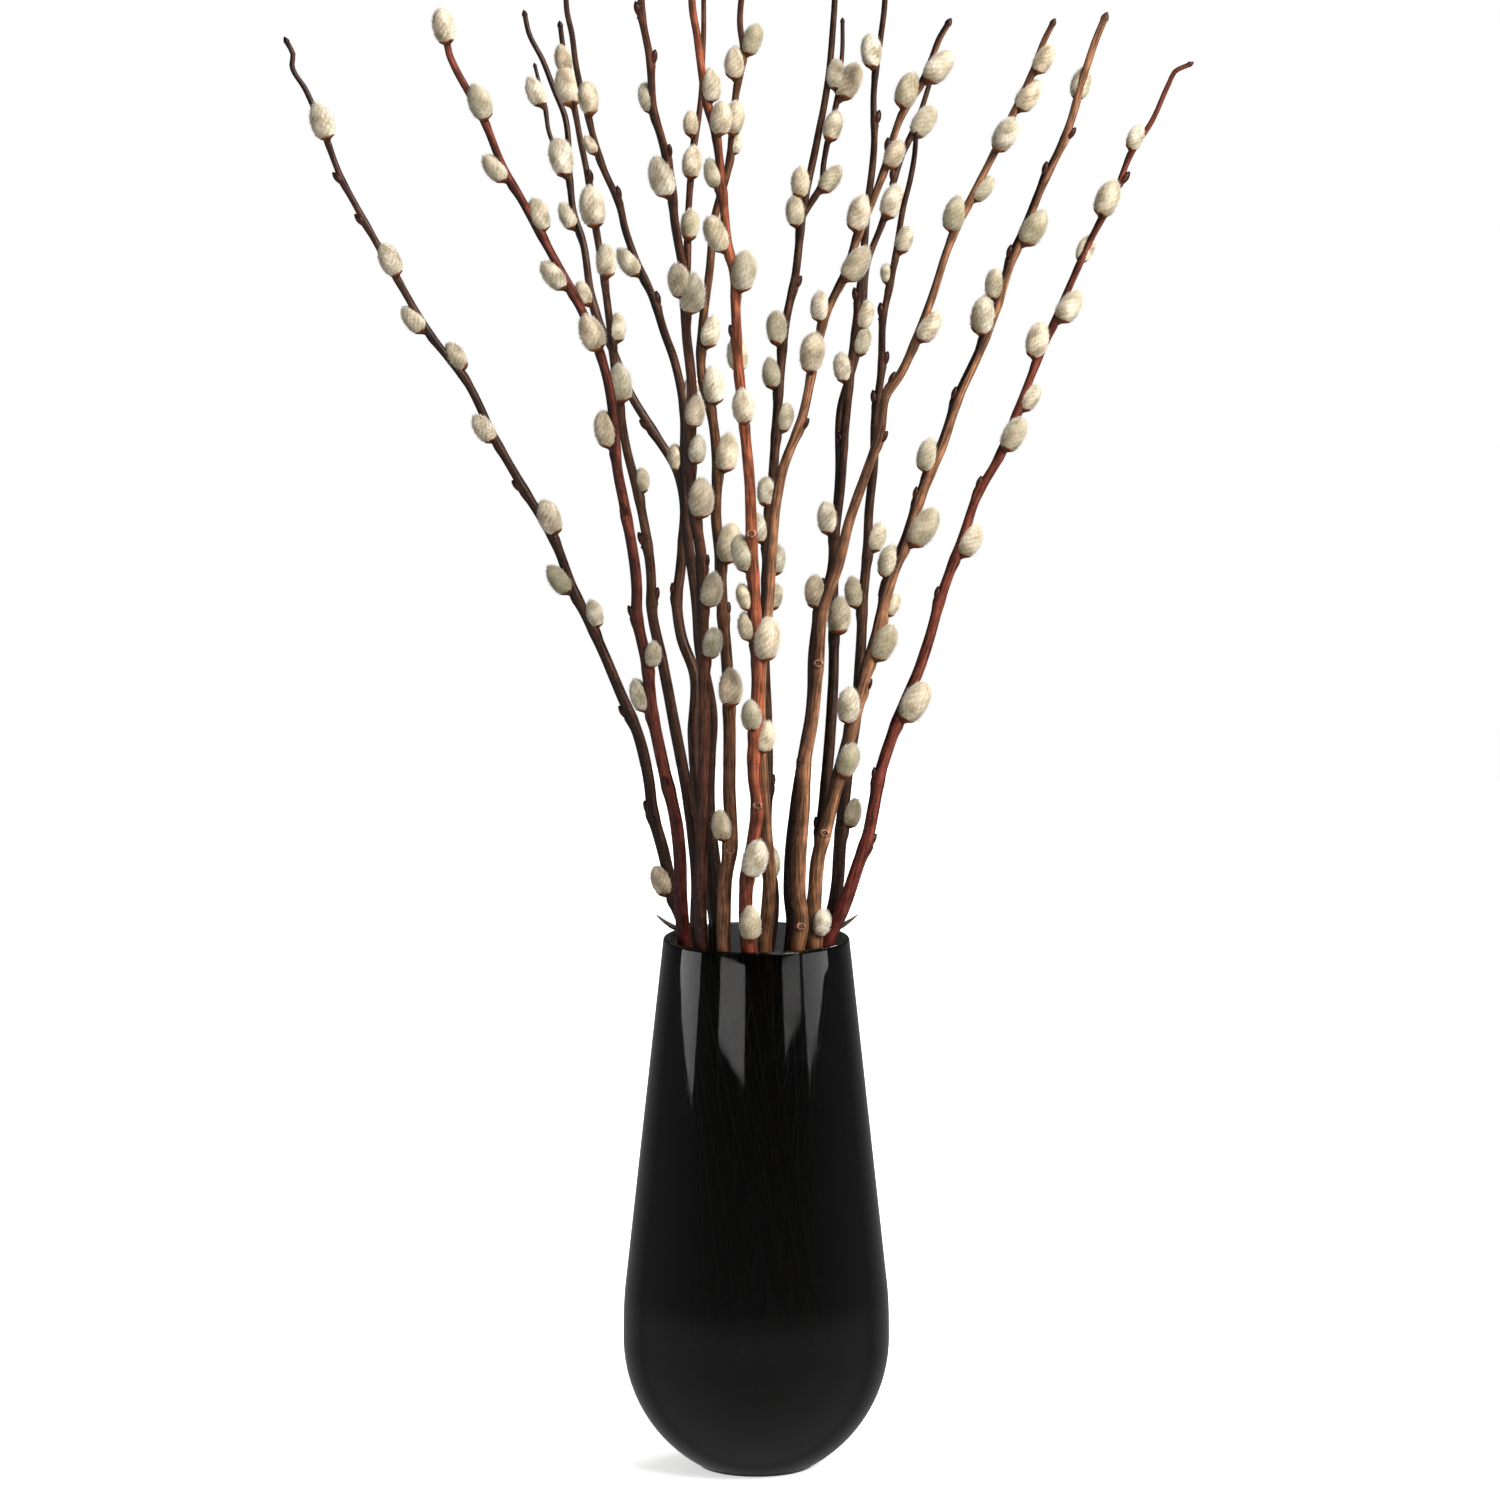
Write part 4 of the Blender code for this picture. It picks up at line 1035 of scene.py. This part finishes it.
def silk_hair():
    """Willow silk: fine plant hair, off-white at its end and duller at its root, with a
    soft sheen. Each lock's own tone is in its colour."""
    material, tree, shader = new_material("silk_hair", {
        "Roughness": 0.6, "Sheen Weight": 0.45, "Sheen Roughness": 0.4})
    colour = add_node(tree, "ShaderNodeAttribute", {"attribute_name": "grown_colour"})
    place = add_node(tree, "ShaderNodeTexCoord").outputs["Object"]
    dust = add_node(tree, "ShaderNodeTexNoise", {"Scale": 260.0, "Detail": 2.0}, {"Vector": place})
    tone = add_node(
        tree, "ShaderNodeMapRange", {"From Min": 0.3, "From Max": 0.7, "To Min": 0.85, "To Max": 1.1},
        {"Value": dust.outputs["Fac"]})
    toned = add_node(
        tree, "ShaderNodeVectorMath", {"operation": "SCALE"},
        {"Vector": colour.outputs["Color"], "Scale": tone.outputs["Result"]})
    tree.links.new(toned.outputs["Vector"], shader.inputs["Base Color"])
    return material


def add_attributes(mesh, colours, places=None):
    """Store each point's colour, and its place round and along the wood."""
    count = len(mesh.vertices)
    layer = mesh.attributes.new("grown_colour", "FLOAT_COLOR", "POINT")
    rgba = np.ones((count, 4), dtype=np.float32)
    rgba[:, :3] = np.array(colours, dtype=np.float32)
    layer.data.foreach_set("color", rgba.ravel())
    if places is not None:
        layer = mesh.attributes.new("grown_place", "FLOAT_VECTOR", "POINT")
        layer.data.foreach_set("vector", np.array(places, dtype=np.float32).ravel())


def hair_object(name, parts, material):
    """All the hairs of a stem's catkins: a closed spike of four faces for each."""
    points, colours, normals = (np.concatenate(part) for part in zip(*parts))
    count = len(points) // 4
    corner = np.array(((0, 2, 1), (0, 1, 3), (1, 2, 3), (2, 0, 3)))
    faces = (corner[None] + 4 * np.arange(count)[:, None, None]).reshape(-1, 3)
    hairs = make_object(name, points, faces.tolist(), material)
    add_attributes(hairs.data, colours)
    hairs.data.normals_split_custom_set_from_vertices(normals)
    return hairs


def finish_piece(name, body, material, node):
    """Make a stem's piece of what was gathered in a body, in place of its CAD node."""
    piece = make_object(name, body["points"], body["faces"], material)
    add_attributes(piece.data, body["colour"], body["place"])
    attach(piece, "root")
    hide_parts(node)


bark, silk, hair = willow_bark(), catkin_silk(), silk_hair()
for number, stem in enumerate(STEMS, start=1):
    lean_draw = random.Random(number)
    form_draw = random.Random(100 + number)
    hair_draws = np.random.default_rng(number)
    wood, tufts = new_body(), new_body()
    hair_parts = []
    open_part = open_centres(stem)
    swollen = [(up, degrees) for up, degrees, size in stem["catkins"]] + list(stem["buds"])
    add_wood(wood, inner_centres(stem) + open_part, STEM_SIDES, swollen, stem["bark"], number, True)
    runs = [(open_part, catkin) for catkin in stem["catkins"]]
    for bud in stem["buds"]:
        add_bud(wood, open_part, bud)
    if "spur" in stem:
        add_spur(wood, stem, open_part)
    if "twig" in stem:
        twig = twig_centres(stem)
        swollen = [(up, degrees) for up, degrees, size in stem["twig_catkins"]]
        add_wood(wood, twig, TWIG_SIDES, swollen, stem["bark"], number + 20, False)
        runs += [(twig, catkin) for catkin in stem["twig_catkins"]]
    grown_list = [(catkin_frame(run, catkin, lean_draw), catkin[2]) for run, catkin in runs]
    if "end_catkin" in stem:
        grown_list.append((end_catkin_frame(open_part, stem["end_catkin"]), stem["end_catkin"]))
    for order, (grown, size) in enumerate(grown_list):
        blunt = form_draw.uniform(*BLUNT)
        green = form_draw.uniform(0.0, 1.0) ** 2 * GREENEST
        tan = form_draw.uniform(0.0, TANNEST) * (1.0 - green)
        add_catkin(tufts, grown, blunt, green, tan, 17.0 * order + number)
        add_scale(wood, grown, blunt, form_draw)
        hair_parts.append(hairs_on(grown, blunt, green, tan, size, hair_draws))
    finish_piece(stem["name"] + "_wood", wood, bark, stem["name"])
    finish_piece(stem["name"] + "_catkins", tufts, silk, stem["name"])
    hairs = hair_object(stem["name"] + "_silk", hair_parts, hair)
    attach(hairs, "root")
    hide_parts(stem["name"])


# The studio: a round pale table in a white tent, four low soft panels round the front
# that the glass mirrors as upright streaks, a high key panel at the right, a weaker one
# behind, and an even ceiling. The eye stands 3 m off, a little above the tips.
FLOOR_RADIUS = 2.2
FLOOR_GLOW = 0.6
FLOOR_SIDES = 96
FLOOR_COLOUR = "#F2F1EE"
PANEL_REACH = 2.5
PANEL_TOP = 0.42
# Each low panel: from and to in degrees round the vase (0 front, 90 right), lower edge
# in metres, and radiance
PANELS = ((-103.0, -70.0, 0.125, 5.5), (-43.0, -13.0, 0.245, 8.0),
          (31.0, 53.0, 0.250, 5.5), (57.0, 96.0, 0.180, 5.5))
# Each high panel: degrees round and up, and radiance
HIGH_PANELS = ((44.0, 38.0, 26.0), (160.0, 42.0, 8.0))
HIGH_REACH = 2.8
HIGH_SIZE = 1.5
CEILING = 0.28
HORIZON = 0.07
FLOOR_FRONT = 1.15
FLOOR_BEHIND = 0.15
MATT_BOUNCE = 0.45
FAR_SIDE = 0.6
BACKDROP = 1.0
LENS = 157.81
EYE_AIM = Vector((EYE_ACROSS * MM, 0.0, 0.33754))


def pale_floor():
    """Matt painted board, with a glow of its own for the light that a white tent returns."""
    return new_material("pale_floor", {
        "Base Color": (*to_linear(FLOOR_COLOUR), 1.0),
        "Roughness": 0.9,
        "Specular IOR Level": 0.1,
        "Emission Color": (1.0, 1.0, 1.0, 1.0),
        "Emission Strength": FLOOR_GLOW})[0]


floor_points = ring_round(Vector((0.0, 0.0, -0.0002)), Vector((1.0, 0.0, 0.0)),
                          Vector((0.0, 1.0, 0.0)), [FLOOR_RADIUS] * FLOOR_SIDES)
floor = make_object("floor", floor_points, [tuple(range(FLOOR_SIDES))], pale_floor())
floor.visible_glossy = False
floor.visible_diffuse = False
floor.visible_shadow = False


def add_panel(name, place, aim, wide, tall, radiance):
    """A soft panel of a given size and radiance, turned to a point, unseen by the eye."""
    light = bpy.data.lights.new(name, "AREA")
    light.shape = "RECTANGLE"
    light.size, light.size_y = wide, tall
    light.energy = radiance * math.pi * wide * tall
    panel = bpy.data.objects.new(name, light)
    panel.location = place
    panel.rotation_euler = (aim - place).to_track_quat("-Z", "Y").to_euler()
    panel.visible_camera = False
    bpy.context.scene.collection.objects.link(panel)


for number, (start, end, bottom, radiance) in enumerate(PANELS, start=1):
    turn = math.radians((start + end) / 2.0)
    middle = (PANEL_TOP + bottom) / 2.0
    place = Vector((PANEL_REACH * math.sin(turn), -PANEL_REACH * math.cos(turn), middle))
    wide = 2.0 * PANEL_REACH * math.tan(math.radians((end - start) / 2.0))
    add_panel("low_panel_%d" % number, place, Vector((0.0, 0.0, middle)),
              wide, PANEL_TOP - bottom, radiance)
for number, (round_to, up_to, radiance) in enumerate(HIGH_PANELS, start=1):
    turn, rise = math.radians(round_to), math.radians(up_to)
    aim = Vector((0.0, 0.0, 0.4))
    away = Vector((math.sin(turn) * math.cos(rise), -math.cos(turn) * math.cos(rise), math.sin(rise)))
    add_panel("high_panel_%d" % number, aim + away * HIGH_REACH, aim,
              HIGH_SIZE, HIGH_SIZE, radiance)

# The tent: the eye sees even white, straight or through the glass. What the pieces mirror
# and are lit by is a ceiling and, below the horizon, the table, brighter in front. Matt
# surfaces get less of the table and some light from the tent's far side.
world = bpy.data.worlds.new("studio")
bpy.context.scene.world = world
world.use_nodes = True
sky = world.node_tree
place = add_node(sky, "ShaderNodeTexCoord").outputs["Generated"]
towards = add_node(sky, "ShaderNodeSeparateXYZ", None, {"Vector": place})
ceiling = add_node(
    sky, "ShaderNodeMapRange",
    {"From Min": 0.30, "From Max": 0.55, "To Min": HORIZON, "To Max": CEILING},
    {"Value": towards.outputs["Z"]})
below = add_node(
    sky, "ShaderNodeMapRange", {"From Min": 0.08, "From Max": -0.20, "To Min": 0.0, "To Max": 1.0},
    {"Value": towards.outputs["Z"]})
bounce = add_node(
    sky, "ShaderNodeMapRange",
    {"From Min": 0.45, "From Max": -0.55, "To Min": FLOOR_BEHIND, "To Max": FLOOR_FRONT},
    {"Value": towards.outputs["Y"]})
path = add_node(sky, "ShaderNodeLightPath")
matt = add_node(
    sky, "ShaderNodeMath", {"operation": "MULTIPLY_ADD", 1: MATT_BOUNCE - 1.0, 2: 1.0},
    {0: path.outputs["Is Diffuse Ray"]})
returned = add_node(
    sky, "ShaderNodeMath", {"operation": "MULTIPLY"},
    {0: bounce.outputs["Result"], 1: matt.outputs["Value"]})
front = add_node(
    sky, "ShaderNodeMath", {"operation": "MULTIPLY_ADD"},
    {0: below.outputs["Result"], 1: returned.outputs["Value"], 2: ceiling.outputs["Result"]})
far_side = add_node(
    sky, "ShaderNodeMapRange", {"From Min": 0.1, "From Max": 0.8, "To Min": 0.0, "To Max": FAR_SIDE},
    {"Value": towards.outputs["Y"]})
around = add_node(
    sky, "ShaderNodeMath", {"operation": "MULTIPLY_ADD"},
    {0: far_side.outputs["Result"], 1: path.outputs["Is Diffuse Ray"], 2: front.outputs["Value"]})
seen = add_node(
    sky, "ShaderNodeMath", {"operation": "MAXIMUM"},
    {0: path.outputs["Is Camera Ray"], 1: path.outputs["Is Transmission Ray"]})
strength = add_node(
    sky, "ShaderNodeMix", {"data_type": "FLOAT", 3: BACKDROP},
    {0: seen.outputs["Value"], 2: around.outputs["Value"]})
sky.links.new(strength.outputs[0], sky.nodes["Background"].inputs["Strength"])
sky.nodes["Background"].inputs["Color"].default_value = (1.0, 1.0, 1.0, 1.0)

camera_data = bpy.data.cameras.new("eye")
camera_data.lens = LENS
camera_data.sensor_width = 36.0
camera_data.clip_end = 200.0
camera = bpy.data.objects.new("eye", camera_data)
camera.location = (EYE_ACROSS * MM, -EYE_DISTANCE * MM, EYE_HEIGHT * MM)
camera.rotation_euler = (EYE_AIM - camera.location).to_track_quat("-Z", "Y").to_euler()
bpy.context.scene.collection.objects.link(camera)
bpy.context.scene.camera = camera
bpy.context.scene.view_settings.view_transform = "Standard"
